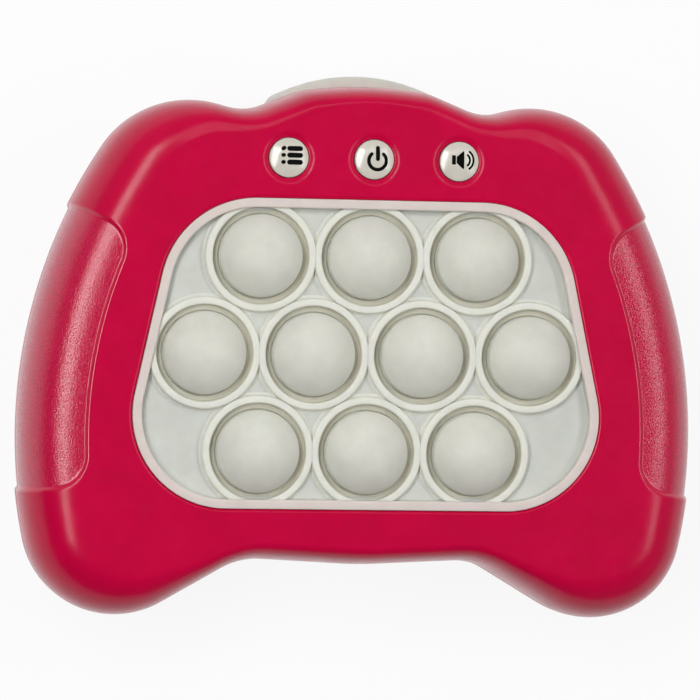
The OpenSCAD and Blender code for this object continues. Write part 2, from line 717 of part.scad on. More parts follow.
// Hollow bubble with the plunger that reaches its switch
module bubble(i) {
    ball_r = (bubble_r * bubble_r + bubble_h * bubble_h) / (2 * bubble_h);
    ball_z = bubble_top_z - ball_r;
    color(silicone_colour) translate([BUBBLES[i - 1][0], BUBBLES[i - 1][1], 0]) {
        difference() {
            translate([0, 0, ball_z]) sphere(r = ball_r);
            translate([0, 0, ball_z]) sphere(r = ball_r - bubble_wall);
            translate([0, 0, sheet_z - 2 * ball_r]) cylinder(r = 2 * ball_r, h = 2 * ball_r);
        }
        translate([0, 0, plunger_z])
            cylinder(r = plunger_r, h = bubble_top_z - bubble_wall / 2 - plunger_z);
    }
}

// Button cap with a crowned top, a flange that keeps it in and a stem down to its switch
module push_button(i) {
    crown_r = (button_r * button_r + button_crown * button_crown) / (2 * button_crown);
    top_z = face_z + button_rise;
    color(white_colour) translate([BUTTONS[i][0], BUTTONS[i][1], 0]) {
        intersection() {
            translate([0, 0, button_flange_z - button_flange_t])
                cylinder(r = button_r, h = top_z - button_flange_z + button_flange_t);
            translate([0, 0, top_z - crown_r]) sphere(r = crown_r);
        }
        translate([0, 0, button_flange_z - button_flange_t])
            cylinder(r = button_r + button_flange, h = button_flange_t);
        translate([0, 0, button_stem_z]) cylinder(r = button_stem_r, h = button_flange_z - button_stem_z);
    }
}
module menu_button() { push_button(0); }
module power_button() { push_button(1); }
module sound_button() { push_button(2); }

module push_bar() {
    stop_h = sleeve_bore_h + 2 * bar_flange;
    stop_w = sleeve_bore_w + 2 * bar_flange;
    color(white_colour) {
        intersection() {
            translate([0, 0, bar_z - bar_h / 2]) linear_extrude(bar_h) intersection() {
                translate([0, bar_front_y - bar_r]) circle(r = bar_r, $fn = 180);
                translate([-bar_w / 2, bar_flange_y]) square([bar_w, total_l]);
            }
            rotate([90, 0, 90]) translate([0, 0, -bar_w]) linear_extrude(2 * bar_w) bar_side();
        }
        translate([-stop_w / 2, bar_flange_y, bar_z - stop_h / 2]) cube([stop_w, bar_flange_t, stop_h]);
        translate([-finger_w / 2, bar_flange_y, bar_z])
            cube([finger_w, bar_flange_t, finger_top_z - bar_z]);
    }
}
// Side of the push bar, rounded at its front edges
module bar_side() {
    back = bar_flange_y;
    front = bar_front_y;
    translate([back, bar_z - bar_h / 2]) square([front - bar_round - back, bar_h]);
    translate([back, bar_z - bar_h / 2 + bar_round]) square([front - back, bar_h - 2 * bar_round]);
    for (side = [-1, 1])
        translate([front - bar_round, bar_z + side * (bar_h / 2 - bar_round)]) circle(r = bar_round);
}

module bar_springs() {
    color(metal_colour) for (side = [-1, 1])
        translate([side * spring_x, spring_seat_y, bar_z]) rotate([-90, 0, 0])
            coil(spring_r, spring_l, spring_turns);
}

// Switch that lies under the board with its plunger towards the push bar
module bar_switch() {
    color(dark_colour) {
        translate([-switch_w / 2, bar_switch_y, board_z - bar_switch_h])
            cube([switch_w, switch_w, bar_switch_h]);
        translate([0, bar_switch_y, bar_plunger_z]) rotate([-90, 0, 0])
            cylinder(r = switch_plunger_r, h = switch_w + switch_h - switch_body_h);
    }
}

module main_board() {
    color(board_colour) difference() {
        union() {
            translate([0, 0, board_z]) linear_extrude(board_t) window_plan(board_out);
            translate([button_x - tongue_w, pad_y, board_z])
                cube([2 * tongue_w, button_y + tongue_l - pad_y, board_t]);
        }
        at(BOSSES, board_z - eps) cylinder(r = pilot_r + slide_gap / 2, h = board_t + 2 * eps);
        translate([-body_w / 2, board_low_y - body_l, board_z - eps])
            cube([body_w, body_l, board_t + 2 * eps]);
    }
}

module tact_switch() {
    translate([-switch_w / 2, -switch_w / 2, 0]) cube([switch_w, switch_w, switch_body_h]);
    cylinder(r = switch_plunger_r, h = switch_h);
}
module bubble_switches() {
    color(dark_colour) at(BUBBLES, board_top_z) tact_switch();
}
module button_switches() {
    color(dark_colour) at(BUTTONS, board_top_z) tact_switch();
}
module bubble_leds() {
    color("white") at(BUBBLES, board_top_z)
        translate([led_x - led_w / 2, -led_w / 2, 0]) cube([led_w, led_w, led_h]);
}
module controller_chip() {
    color(dark_colour) translate([-chip_w / 2, pad_y - chip_w / 2, board_z - chip_h])
        cube([chip_w, chip_w, chip_h]);
}
module board_screws() {
    color(metal_colour) at(BOSSES, board_z) screw(board_t + board_pilot_l - tip_gap);
}

module speaker() {
    color(metal_colour) translate([0, speaker_y, wall]) {
        tube(speaker_r, magnet_d / 2 - eps, speaker_frame_h);
        translate([0, 0, speaker_frame_h / 2]) cylinder(d = magnet_d, h = speaker_frame_h / 2 + magnet_h);
    }
}
module speaker_leads() {
    color(dark_colour) sweep(lead_path(speaker_lead_from, [0, 0, 1], speaker_lead_to), lead_r, 8);
}

module battery_door() {
    color(case_colour) difference() {
        linear_extrude(door_t) door_plan(0);
        translate([0, door_ear_y, -eps]) cylinder(r = pilot_r + slide_gap / 2, h = door_t + 2 * eps);
        translate([0, door_ear_y, -eps]) cylinder(r = screw_head_r + slide_gap, h = eps + door_t / 2);
    }
}
module door_screw() {
    color(metal_colour) translate([0, door_ear_y, 0]) {
        cylinder(r = screw_head_r, h = door_t / 2);
        cylinder(r = screw_r, h = door_boss_h - eps);
    }
}

// Cell along X, with its nub towards +X
module battery(i) {
    color("#3c6fb0") translate([battery_x, BATTERY_ROWS[i - 1], battery_z]) rotate([0, 90, 0]) {
        cylinder(d = battery_d, h = battery_l - nub_l);
        cylinder(d = nub_d, h = battery_l);
    }
}
module battery_springs() {
    color(metal_colour) for (y = BATTERY_ROWS)
        translate([-bay_l / 2, y, battery_z]) rotate([0, 90, 0])
            coil(battery_d / 4, contact_l, contact_turns);
}
module battery_plates() {
    color(metal_colour) for (y = BATTERY_ROWS)
        translate([bay_l / 2 - contact_t, y - plate_w / 2, battery_z - plate_w / 2])
            cube([contact_t, plate_w, plate_w]);
}
module battery_leads() {
    color("#b02a2a") sweep(lead_path(battery_lead_from, [0, 1, 0], battery_lead_to), lead_r, 8);
}

module case_screws() {
    color(metal_colour) at(CASE_SCREWS, well_depth) screw(part_z - tip_gap);
}

front_shell();
rear_shell();
bubble_pad();
pad_frame();
for (i = [1:len(BUBBLES)]) bubble(i);
menu_button();
power_button();
sound_button();
push_bar();
bar_springs();
bar_switch();
main_board();
bubble_switches();
bubble_leds();
button_switches();
controller_chip();
board_screws();
speaker();
speaker_leads();
battery_door();
door_screw();
for (i = [1:3]) battery(i);
battery_springs();
battery_plates();
battery_leads();
case_screws();
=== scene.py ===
import math
import bpy
import numpy as np
from mathutils import Matrix, Vector
from mathutils.geometry import delaunay_2d_cdt


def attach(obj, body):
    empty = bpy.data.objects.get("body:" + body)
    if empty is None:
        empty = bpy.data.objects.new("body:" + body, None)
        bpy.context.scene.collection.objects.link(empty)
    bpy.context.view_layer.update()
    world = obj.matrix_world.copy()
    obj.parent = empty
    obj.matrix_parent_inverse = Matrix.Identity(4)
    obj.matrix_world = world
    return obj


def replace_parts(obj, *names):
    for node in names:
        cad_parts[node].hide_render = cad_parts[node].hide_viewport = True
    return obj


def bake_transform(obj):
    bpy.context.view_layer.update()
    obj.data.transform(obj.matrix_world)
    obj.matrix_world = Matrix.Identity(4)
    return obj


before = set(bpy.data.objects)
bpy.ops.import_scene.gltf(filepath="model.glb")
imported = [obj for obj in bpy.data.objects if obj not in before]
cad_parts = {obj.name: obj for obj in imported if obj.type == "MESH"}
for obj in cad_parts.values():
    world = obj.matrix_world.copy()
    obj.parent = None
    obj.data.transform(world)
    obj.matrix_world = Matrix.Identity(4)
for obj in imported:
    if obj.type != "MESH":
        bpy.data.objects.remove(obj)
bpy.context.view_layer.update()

MM, QUARTER = 0.001, math.pi / 2

# Case, in millimetres and named as in the source
BODY_W, BODY_L, BAR_REACH = 150.0, 116.2, 2.7
HALF_H, WALL = 20.0, 2.4
PART_Z, FACE_Z, INNER_Z = HALF_H, 2 * HALF_H, 2 * HALF_H - WALL
BAR_FRONT = (BODY_L + BAR_REACH) / 2
HUMP_Y, GRIP_END_Y = BAR_FRONT - BAR_REACH, -BAR_FRONT
HUMP_R, HUMP_CORNER_R, HUMP_CORNER_X = 86.0, 13.0, 10.5
DIP_R, DIP_X, DIP_DROP = 12.5, 27.0, 5.4
SHOULDER_R, SHOULDER_DROP = 22.0, 3.7
SIDE_R, SIDE_RISE = 114.0, 40.0
SIDE_C = (BODY_W / 2 - SIDE_R, GRIP_END_Y + SIDE_RISE)
GRIP_R = 20.0
SADDLE_R, SADDLE_X, SADDLE_RISE = 16.0, 22.0, 12.5
BELLY_R, BELLY_RISE = 80.0, 11.5

# Edge rounding: its width in the middle and at the grips, its squareness, and where it widens
EDGE_MID, EDGE_SIDE, EDGE_POWER = 4.6, 13.0, 2.5
EDGE_FROM, EDGE_TO = DIP_X, 0.4 * BODY_W

# Grip panels: depth, width, corner, and how far they reach above and below the side's centre
PANEL_DEPTH, PANEL_W, PANEL_CORNER, PANEL_RISE, PANEL_FALL = 0.6, 14.7, 7.0, 49.3, 13.2
PANEL_TOP, PANEL_LOW = math.asin(PANEL_RISE / SIDE_R), -math.asin(PANEL_FALL / SIDE_R)

# Step down to a panel: its start outside the border, radii of edge and foot, and slope
STEP_OUT, STEP_EDGE_R, STEP_FOOT_R, STEP_SLOPE = 0.2, 0.7, 0.4, math.radians(50)
# Distances from the border: middle of the step, end of the glossy edge, start of the grain
STEP_MIDDLE, GLOSS_TO, GRAIN_FROM = -0.4, 0.3, -0.75

# Soft crease along the top of the face: its inset at distances from the middle, and where it fades out
CREASE_Y, CREASE_SLOPE, CREASE_ROUND, CREASE_ROOM = 25.0, math.radians(11), 0.4, 0.45
CREASE_X, CREASE_INSET = (0, 10, 20, 27, 39, 52), (3.9, 4.7, 5.1, 5.5, 9.2, 11.5)
FADE_FROM, FADE_W = 38.0, 17.0
# Inset and drop without a crease, where any inset does
NO_CREASE = (8.0, 0.0)

# Columns of a case half along its outline, closer near the ends of the grip panels
LENGTH_STEP, COLUMN_STEP, COLUMN_FINE, FINE_REACH, COLUMN_GAP = 0.25, 1.1, 0.28, 8.3, 0.5

# Rows of a case half: seam, heights on the wall and on its lining, steps round the edge
SEAM = [(0.35, 0.0), (0.12, 0.12)]
WALL_LEVELS = (0.4, 1.7, 3.2, 5.0, 7.0, 9.0, 10.7, 12.3, 13.8, 15.1, 16.2, 17.1)
LINING_LEVELS = (0.0, 1.7, 5.0, 9.0, 12.3, 14.5, 16.2, 17.2, 17.6)
LINING_CUT, LINING_EDGE = 2.6, 2.0
ROUND_STEPS = 14
# Flat border behind the edge: widths, and shares of the width, which lie closest where the crease runs
BORDER, BORDER_TOP, BORDER_REAR = 3.3, 1.1, 0.4
BORDER_SHARES = [0.07, 0.14, 0.2, 0.25] + [0.28 + 0.03 * k for k in range(15)] + [0.76, 0.84, 0.92, 1.0]
BORDER_FROM, BORDER_FADE = 1.0, 6.0

# Opening for the push bar in the rear half: half width, least Y, and levels below the parting line
SLOT_X, SLOT_SLACK, SLOT_Y, SLOT_LEVELS = 20.9, 0.05, 40.0, (1.7, 12.3)

# Buttons
BUTTON_X, BUTTON_PITCH, BUTTON_Y = 0.5, 18.6, HUMP_Y - 16.5
BUTTON_NAMES = ("menu_button", "power_button", "sound_button")
BUTTONS = {name: (BUTTON_X + (k - 1) * BUTTON_PITCH, BUTTON_Y) for k, name in enumerate(BUTTON_NAMES)}
BORE_R = 4.4
CAP_R, CAP_TOP, CAP_EDGE_Z = 4.25, FACE_Z + 0.9, 39.95
CROWN_R, CROWN_DROP = 3.75, 0.68
CAP_FLANGE_R, CAP_FLANGE_TOP, CAP_FLANGE_LOW = 5.0, 37.3, 36.2
STEM_R, STEM_LOW = 1.8, 31.2
INK_TOP, INK_FOOT = 0.03, -0.12
FILL_START, FILL_STEP, FILL_ROOM, STROKE_STEP = 0.2, 0.36, 0.16, 0.4

# Window and keypad: the window's corner circles, and growths of its outline at the rim
PAD_DROP, PAD_TOP, PAD_LOW = 8.7, 33.55, 33.45
PAD_TOP_R, PAD_LOW_R, PAD_TOP_W, PAD_LOW_W = 21.0, 20.4, 45.5, 51.0
PAD_Y = BUTTON_Y - PAD_DROP - PAD_TOP
UPPER_C = (PAD_TOP_W - PAD_TOP_R, PAD_Y + PAD_TOP - PAD_TOP_R)
LOWER_C = (PAD_LOW_W - PAD_LOW_R, PAD_Y - PAD_LOW + PAD_LOW_R)
SHEET_Z, RIM_TOP = INNER_Z - 1.6, FACE_Z + 0.3
FLANGE_W, FLANGE_TOP = 3.0, 37.55
RIM_OUTER, RIM_MIDDLE, RIM_INNER = -0.08, -1.3, -2.1

# Bubbles, their wells, rings and webs
BUBBLE_PITCH, ROW_PITCH, ROWS = 23.65, 21.05, (3, 4, 3)
BUBBLES = [((i - (n - 1) / 2) * BUBBLE_PITCH, PAD_Y + (1 - r) * ROW_PITCH)
           for r, n in enumerate(ROWS) for i in range(n)]
DOME_R, DOME_TOP, DOME_CAP_R, DOME_FOOT = 10.8, 44.5, 8.7, 35.95
HOLLOW_R, HOLLOW_H, HOLLOW_STEPS = 7.3, 6.9, 9
PLUNGER_R, PLUNGER_TOP, PLUNGER_LOW = 2.2, 42.5, 34.9
WELL_R, WELL_ROOM, WELL_FLOOR, WELL_SIDES = 10.6, 1.35, 37.05, 72
RING_R, RING_CREST, RING_SIDES, RING_LEAN = 12.0, FACE_Z - 0.7, 96, 0.02
WEB_R, WEB_IN, WEB_TOP, WEB_DROP, WEB_T, WEB_STEPS = 9.6, 0.75, 36.9, 0.8, 0.3, 8

# Screws: profile of the head, one arm of the cross, shank, and the columns that take the case screws
UPPER_SCREW = (35.0, HUMP_Y - 13.55)
LOWER_SCREW = (BODY_W / 2 - 20.5, GRIP_END_Y + 18.45)
SCREWS = [(way * x, y) for x, y in (UPPER_SCREW, LOWER_SCREW) for way in (1, -1)]
SCREW_HEAD = ((2.3, 1.4), (2.3, 0.75), (2.22, 0.4), (2.0, 0.15), (1.6, 0.0))
CROSS_ARM, CROSS_TAPER, CROSS_DEPTH = ((1.25, -0.24), (1.25, 0.24), (0.3, 0.3)), 0.7, 0.8
SCREW_R, SCREW_L = 1.15, 5.5
COLUMN_R, COLUMN_TOP, SCREW_WELL_DEPTH = 3.6, 11.2, 10.0

# Speaker grille
SPEAKER_Y, GRILLE_R, GRILLE_PITCH = 21.2, 8.4, 4.0

# Battery door: half sizes, corner, middle, thickness, ear for its screw, and clearances of door and frame
DOOR_X, DOOR_Y, DOOR_R, DOOR_MID, DOOR_T = 27.5, 18.85, 3.0, -19.0, 1.4
EAR_R, EAR_Y = 5.0, DOOR_MID + DOOR_Y + 1.25
DOOR_IN, DOOR_OUT, DOOR_DEPTH = 0.05, 0.1, 1.45
# Finger grooves across the door
GROOVES, GROOVE_Y, GROOVE_PITCH, GROOVE_X, GROOVE_TAPER, GROOVE_R = 5, -35.2, 1.5, 6.5, 0.7, 0.5

# Push bar: half width, height, middle, bow of its front, corners and round; flange, finger and sleeve
BAR_X, BAR_H, BAR_Z, BAR_R, BAR_CORNER, BAR_ROUND = 20.0, 10.0, 13.0, 40.0, 2.6, 2.0
BAR_STEPS = (0.0, 0.15, 0.34, 0.58, 0.86, 1.2, 1.58, 2.0)
BAR_FLANGE_X, BAR_FLANGE_H, FLANGE_FRONT, FLANGE_BACK = 21.7, 6.7, 42.45, 40.45
FINGER_X, FINGER_LOW, FINGER_TOP, FINGER_EDGE = 2.0, 18.0, 23.3, 0.4
SLEEVE_OUT, SLEEVE_IN, SLEEVE_Y = (21.6, 6.4), (20.3, 5.3), (43.0, 50.8)

# Return springs of the push bar
SPRING_X, SPRING_R, SPRING_SEAT, SPRING_GAP = 17.8, 2.5, 29.95, 0.33
WIRE_R, WIRE_SIDES, COIL_TURNS, COIL_STEPS, COIL_CLOSE = 0.3, 10, 6, 28, 0.1

# Corners of a rectangle, anticlockwise: signs of X and Y, and the angle where the corner's arc starts
CORNERS = ((1, -1, -QUARTER), (1, 1, 0.0), (-1, 1, QUARTER), (-1, -1, 2 * QUARTER))


def smooth(t):
    t = min(max(t, 0.0), 1.0)
    return t * t * (3 - 2 * t)


def inside_side(y, r):
    """X of the centre, at height y, of a circle of radius r that touches the side's arc from inside."""
    return SIDE_C[0] + math.sqrt((SIDE_R - r) ** 2 - (y - SIDE_C[1]) ** 2)


# Half outline: circles (centre, radius, negative in a hollow), joined by the lines that touch them
GRIP_Y = GRIP_END_Y + GRIP_R
SHOULDER_Y = HUMP_Y - SHOULDER_DROP - SHOULDER_R
HUMP_CORNER_Y = HUMP_Y - HUMP_R + math.sqrt((HUMP_R - HUMP_CORNER_R) ** 2 - HUMP_CORNER_X ** 2)
ARCS = [
    ((0.0, GRIP_END_Y + BELLY_RISE + BELLY_R), BELLY_R),
    ((SADDLE_X, GRIP_END_Y + SADDLE_RISE - SADDLE_R), -SADDLE_R),
    ((inside_side(GRIP_Y, GRIP_R), GRIP_Y), GRIP_R),
    (SIDE_C, SIDE_R),
    ((inside_side(SHOULDER_Y, SHOULDER_R), SHOULDER_Y), SHOULDER_R),
    ((DIP_X, HUMP_Y - DIP_DROP + DIP_R), -DIP_R),
    ((HUMP_CORNER_X, HUMP_CORNER_Y), HUMP_CORNER_R),
    ((0.0, HUMP_Y - HUMP_R), HUMP_R),
]


def heading(a, b):
    """Direction of the line that touches two circles."""
    dx, dy = b[0][0] - a[0][0], b[0][1] - a[0][1]
    h = math.atan2(dy, dx) - math.asin(max(-1, min(1, (b[1] - a[1]) / math.hypot(dx, dy))))
    return h + 2 * math.pi if h < -math.pi / 2 else h


def on_arc(arc, h):
    """Point of a circle where the outline has heading h, and the outward direction there."""
    (cx, cy), r = arc
    return (cx + r * math.sin(h), cy - r * math.cos(h), math.sin(h), -math.cos(h))


def half_outline():
    """Stretches of the right half, each as its length and a function of the share along it."""
    segs = []
    for i, arc in enumerate(ARCS):
        a = 0.0 if i == 0 else heading(ARCS[i - 1], arc)
        b = math.pi if i == len(ARCS) - 1 else heading(arc, ARCS[i + 1])
        segs.append((abs(arc[1] * (b - a)), lambda t, arc=arc, a=a, b=b: on_arc(arc, a + (b - a) * t)))
        if i < len(ARCS) - 1:
            p, q = on_arc(arc, b), on_arc(ARCS[i + 1], b)
            length = math.hypot(q[0] - p[0], q[1] - p[1])
            segs.append((length, lambda t, p=p, q=q: tuple(u + (v - u) * t for u, v in zip(p, q))))
    return segs


def at_length(segs, s):
    for length, f in segs:
        if s <= length:
            return f(s / length if length > 1e-9 else 0.0)
        s -= length
    return segs[-1][1](1.0)


def stations():
    """Points and outward directions round the whole outline, one for each column of a case half."""
    segs = half_outline()
    total = sum(s[0] for s in segs)
    lengths = [k * LENGTH_STEP for k in range(int(total / LENGTH_STEP) + 1)]
    table = [(s, at_length(segs, s)) for s in lengths]
    ends = []
    for a in (PANEL_LOW, PANEL_TOP):
        x, y = SIDE_C[0] + SIDE_R * math.cos(a), SIDE_C[1] + SIDE_R * math.sin(a)
        ends.append(min(table, key=lambda e: math.hypot(e[1][0] - x, e[1][1] - y))[0])
    slot = min((e for e in table if e[1][1] > SLOT_Y), key=lambda e: abs(e[1][0] - SLOT_X))[0]
    marks, s = [0.0], 0.0
    while s < total - COLUMN_GAP:
        near = min(abs(s - e) for e in ends)
        s += COLUMN_FINE if near < FINE_REACH else COLUMN_STEP
        marks.append(s)
    marks = [m for m in marks if abs(m - slot) > COLUMN_GAP and m < total - COLUMN_GAP] + [slot, total]
    right = [at_length(segs, m) for m in sorted(marks)]
    left = [(-x, y, -nx, ny) for x, y, nx, ny in reversed(right[1:-1])]
    return right + left


STATIONS = stations()


def edge_at(x):
    return EDGE_MID + (EDGE_SIDE - EDGE_MID) * smooth((abs(x) - EDGE_FROM) / (EDGE_TO - EDGE_FROM))


def crease_fade(x):
    return smooth((abs(x) - FADE_FROM) / FADE_W)


def crease_at(x, y):
    """Inset of the soft crease along the top of the face, and the drop of the face outside it."""
    if y < CREASE_Y:
        return NO_CREASE
    inset = float(np.interp(abs(x), CREASE_X, CREASE_INSET))
    return inset, inset * math.tan(CREASE_SLOPE) * (1 - crease_fade(x))


def rounding(t):
    """Inset share of the edge rounding at height share t."""
    return 1 - (1 - t ** EDGE_POWER) ** (1 / EDGE_POWER)


def rise(f):
    """Height share of the edge rounding at inset share f."""
    return (1 - (1 - f) ** EDGE_POWER) ** (1 / EDGE_POWER)


def knee(u, c):
    """u up to c and then level, with a round bend."""
    k = CREASE_ROUND
    if u <= c - k:
        return u
    return c if u >= c + k else c - (c + k - u) ** 2 / (4 * k)


def panel_distance(x, y):
    """Distance from the border of a grip panel, negative inside."""
    a = math.atan2(y - SIDE_C[1], abs(x) - SIDE_C[0])
    ro = math.hypot(y - SIDE_C[1], abs(x) - SIDE_C[0])
    qx = max(ro * (a - PANEL_TOP), ro * (PANEL_LOW - a)) + PANEL_CORNER
    qy = SIDE_R - ro - (PANEL_W - PANEL_CORNER)
    return math.hypot(max(qx, 0), max(qy, 0)) + min(max(qx, qy), 0) - PANEL_CORNER


def panel_sink(d):
    """Depth of the case's surface at distance d from a panel's border: round edge, slope and round foot."""
    sin, cos, tan = math.sin(STEP_SLOPE), math.cos(STEP_SLOPE), math.tan(STEP_SLOPE)
    edge_depth, foot_depth = STEP_EDGE_R * (1 - cos), STEP_FOOT_R * (1 - cos)
    slope_from = STEP_EDGE_R * sin
    slope_to = slope_from + (PANEL_DEPTH - edge_depth - foot_depth) / tan
    end = slope_to + STEP_FOOT_R * sin
    t = STEP_OUT - d
    if t <= 0:
        return 0.0
    if t < slope_from:
        return STEP_EDGE_R - math.sqrt(STEP_EDGE_R ** 2 - t * t)
    if t < slope_to:
        return edge_depth + (t - slope_from) * tan
    if t < end:
        return PANEL_DEPTH - STEP_FOOT_R + math.sqrt(STEP_FOOT_R ** 2 - (end - t) ** 2)
    return PANEL_DEPTH


def panel_material(d):
    """Material of the case: 1 grained on the panel, 2 glossy on the step round it, 0 satin elsewhere."""
    if d < GRAIN_FROM:
        return 1
    return 2 if d < GLOSS_TO else 0


# Mesh helpers
class Shape:
    """Vertices in millimetres, and faces with the number of their material."""

    def __init__(self):
        self.v, self.f, self.m = [], [], []

    def loop(self, pts):
        start = len(self.v)
        self.v.extend(tuple(p) for p in pts)
        return list(range(start, len(self.v)))

    def face(self, ids, mat=0):
        self.f.append(tuple(ids))
        self.m.append(mat)

    def strip(self, a, b, mat=0):
        n = len(a)
        for i in range(n):
            j = (i + 1) % n
            self.face((a[i], a[j], b[j], b[i]), mat)

    def skin(self, loops, flip=False):
        """Strips from each loop to the next."""
        for a, b in zip(loops, loops[1:]):
            self.strip(*((b, a) if flip else (a, b)))

    def flat(self, outer, holes, up=True, extra=()):
        """Fills between loops of vertices in plan, through extra plan points."""
        loops = [outer] + list(holes)
        ids, edges = [], []
        for lp in loops:
            n, start = len(lp), len(ids)
            edges += [(start + i, start + (i + 1) % n) for i in range(n)]
            ids += lp
        ids += self.loop([(x, y, self.v[outer[0]][2]) for x, y in extra])
        pts = [Vector(self.v[i][:2]) for i in ids]
        co, _, tris, orig, _, _ = delaunay_2d_cdt(pts, edges, [], 0, 1e-7)
        polys = [np.array([self.v[i][:2] for i in lp]) for lp in loops]
        for t in tris:
            c = sum((co[i] for i in t), Vector((0, 0))) / 3
            if not within(polys[0], c) or any(within(p, c) for p in polys[1:]):
                continue
            face = [ids[orig[i][0]] for i in t]
            a, b, d = (Vector(self.v[i][:2]) for i in face)
            turn = (b - a).cross(d - a)
            self.face(face if (turn > 0) == up else face[::-1])

    def make(self, name, mats, body="case", slot=None, sharp=38):
        mesh = bpy.data.meshes.new(name)
        mesh.from_pydata([(x * MM, y * MM, z * MM) for x, y, z in self.v], [], self.f)
        for m in mats:
            mesh.materials.append(m)
        mesh.polygons.foreach_set("material_index", self.m)
        mesh.shade_smooth()
        mesh.validate()
        mesh.set_sharp_from_angle(angle=math.radians(sharp))
        obj = bpy.data.objects.new(name, mesh)
        bpy.context.scene.collection.objects.link(obj)
        if body:
            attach(obj, body)
        return obj


def within(poly, p):
    x, y = p
    x0, y0 = poly[:, 0], poly[:, 1]
    x1, y1 = np.roll(x0, -1), np.roll(y0, -1)
    cross = (y0 > y) != (y1 > y)
    with np.errstate(divide="ignore", invalid="ignore"):
        hit = cross & (x < (x1 - x0) * (y - y0) / (y1 - y0) + x0)
    return bool(hit.sum() % 2)


def arc(c, r, start, end, n):
    angles = [start + (end - start) * k / n for k in range(n + 1)]
    return [(c[0] + r * math.cos(a), c[1] + r * math.sin(a)) for a in angles]


def circle(c, r, n, z):
    return level(arc(c, r, 0.0, 4 * QUARTER, n)[:-1], z)


def level(pts, z):
    return [(x, y, z) for x, y in pts]


def lathe(shape, profile, c, n):
    """Turns (radius, height) points, listed from the top outwards and down; radius 0 closes an end."""
    loops = [shape.loop([(*c, z)] if r < 1e-6 else circle(c, r, n, z)) for r, z in profile]
    for a, b in zip(loops, loops[1:]):
        for i in range(n):
            j = (i + 1) % n
            quad = (b[i % len(b)], b[j % len(b)], a[j % len(a)], a[i % len(a)])
            # a point at an end comes up twice, and leaves a triangle
            shape.face(dict.fromkeys(quad))


def fillet(p, c, q, n):
    """Points of a round from p to q at the corner c, in n steps."""
    out = []
    for k in range(n + 1):
        t = k / n
        out.append(tuple((1 - t) ** 2 * a + 2 * t * (1 - t) * b + t * t * d for a, b, d in zip(p, c, q)))
    return out


def capsule(a, b, r, n=8):
    """Rounded stroke from a to b."""
    t = math.atan2(b[1] - a[1], b[0] - a[0])
    return arc(b, r, t - QUARTER, t + QUARTER, n) + arc(a, r, t + QUARTER, t + 3 * QUARTER, n)


def hole(shape, loops, up):
    """Skin down a row of loops; returns the first and last."""
    ids = [shape.loop(lp) for lp in loops]
    shape.skin(ids, up)
    return ids[0], ids[-1]


def pit(shape, loops):
    """Blind hole from below; returns its first loop."""
    first, last = hole(shape, loops, False)
    shape.flat(last, [], False)
    return first


# Materials
class Graph:
    """Short ways to add to the node tree of a material or world."""

    def __init__(self, owner):
        owner.use_nodes = True
        self.tree = owner.node_tree

    def node(self, kind, **props):
        n = self.tree.nodes.new("ShaderNode" + kind)
        for k, v in props.items():
            setattr(n, k, v)
        return n

    def link(self, a, b):
        self.tree.links.new(a, b)

    def span(self, value, lo, hi, to_lo, to_hi):
        n = self.node("MapRange")
        for k, v in (("From Min", lo), ("From Max", hi), ("To Min", to_lo), ("To Max", to_hi)):
            n.inputs[k].default_value = v
        self.link(value, n.inputs["Value"])
        return n.outputs[0]

    def math(self, op, a, b):
        n = self.node("Math", operation=op)
        for x, socket in zip((a, b), n.inputs):
            if isinstance(x, (int, float)):
                socket.default_value = x
            else:
                self.link(x, socket)
        return n.outputs[0]

    def mix(self, share, a, b):
        n = self.node("MixShader")
        for x, socket in zip((share, a, b), n.inputs):
            self.link(x, socket)
        return n.outputs[0]


class Look(Graph):
    """A node material on object coordinates, in millimetres."""

    def __init__(self, name, **values):
        self.mat = bpy.data.materials.new(name)
        super().__init__(self.mat)
        self.tree.nodes.clear()
        self.shader = self.node("BsdfPrincipled")
        self.link(self.shader.outputs[0], self.node("OutputMaterial").inputs[0])
        for k, v in values.items():
            self.shader.inputs[k.replace("_", " ")].default_value = v
        mm = self.node("VectorMath", operation="SCALE")
        self.link(self.node("TexCoord").outputs["Object"], mm.inputs[0])
        mm.inputs["Scale"].default_value = 1 / MM
        self.mm = mm.outputs[0]

    def noise(self, size, detail=2.0, rough=0.5, stretch=None):
        n = self.node("TexNoise")
        n.inputs["Scale"].default_value = 1 / size
        n.inputs["Detail"].default_value = detail
        n.inputs["Roughness"].default_value = rough
        source = self.mm
        if stretch:
            m = self.node("Mapping")
            m.inputs["Scale"].default_value = stretch
            self.link(self.mm, m.inputs[0])
            source = m.outputs[0]
        self.link(source, n.inputs["Vector"])
        return n.outputs["Fac"]

    def cells(self, size):
        n = self.node("TexVoronoi")
        n.inputs["Scale"].default_value = 1 / size
        self.link(self.mm, n.inputs["Vector"])
        return n.outputs["Distance"]

    def colours(self, value, stops):
        """Base colour by value; stops are positions with colours from 0 to 255."""
        n = self.node("ValToRGB")
        ramp = n.color_ramp
        while len(ramp.elements) < len(stops):
            ramp.elements.new(0.5)
        for e, (pos, col) in zip(ramp.elements, stops):
            e.position = pos
            e.color = (*linear(col), 1)
        self.link(value, n.inputs[0])
        self.link(n.outputs[0], self.shader.inputs["Base Color"])

    def mottle(self, size, dark, light):
        """Base colour that drifts between two tones."""
        self.colours(self.noise(size, 4, 0.6), [(0.3, dark), (0.7, light)])

    def rough(self, value, to_lo, to_hi, lo=0.3, hi=0.7):
        self.link(self.span(value, lo, hi, to_lo, to_hi), self.shader.inputs["Roughness"])

    def bump(self, height, depth):
        """depth is the height in millimetres of a height value of 1."""
        n = self.node("Bump")
        n.inputs["Distance"].default_value = depth * MM
        self.link(height, n.inputs["Height"])
        self.link(n.outputs[0], self.shader.inputs["Normal"])


def linear(colour):
    """Linear shares of a display colour from 0 to 255."""
    return tuple((c / 255 / 12.92) if c <= 10 else ((c / 255 + 0.055) / 1.055) ** 2.4 for c in colour)


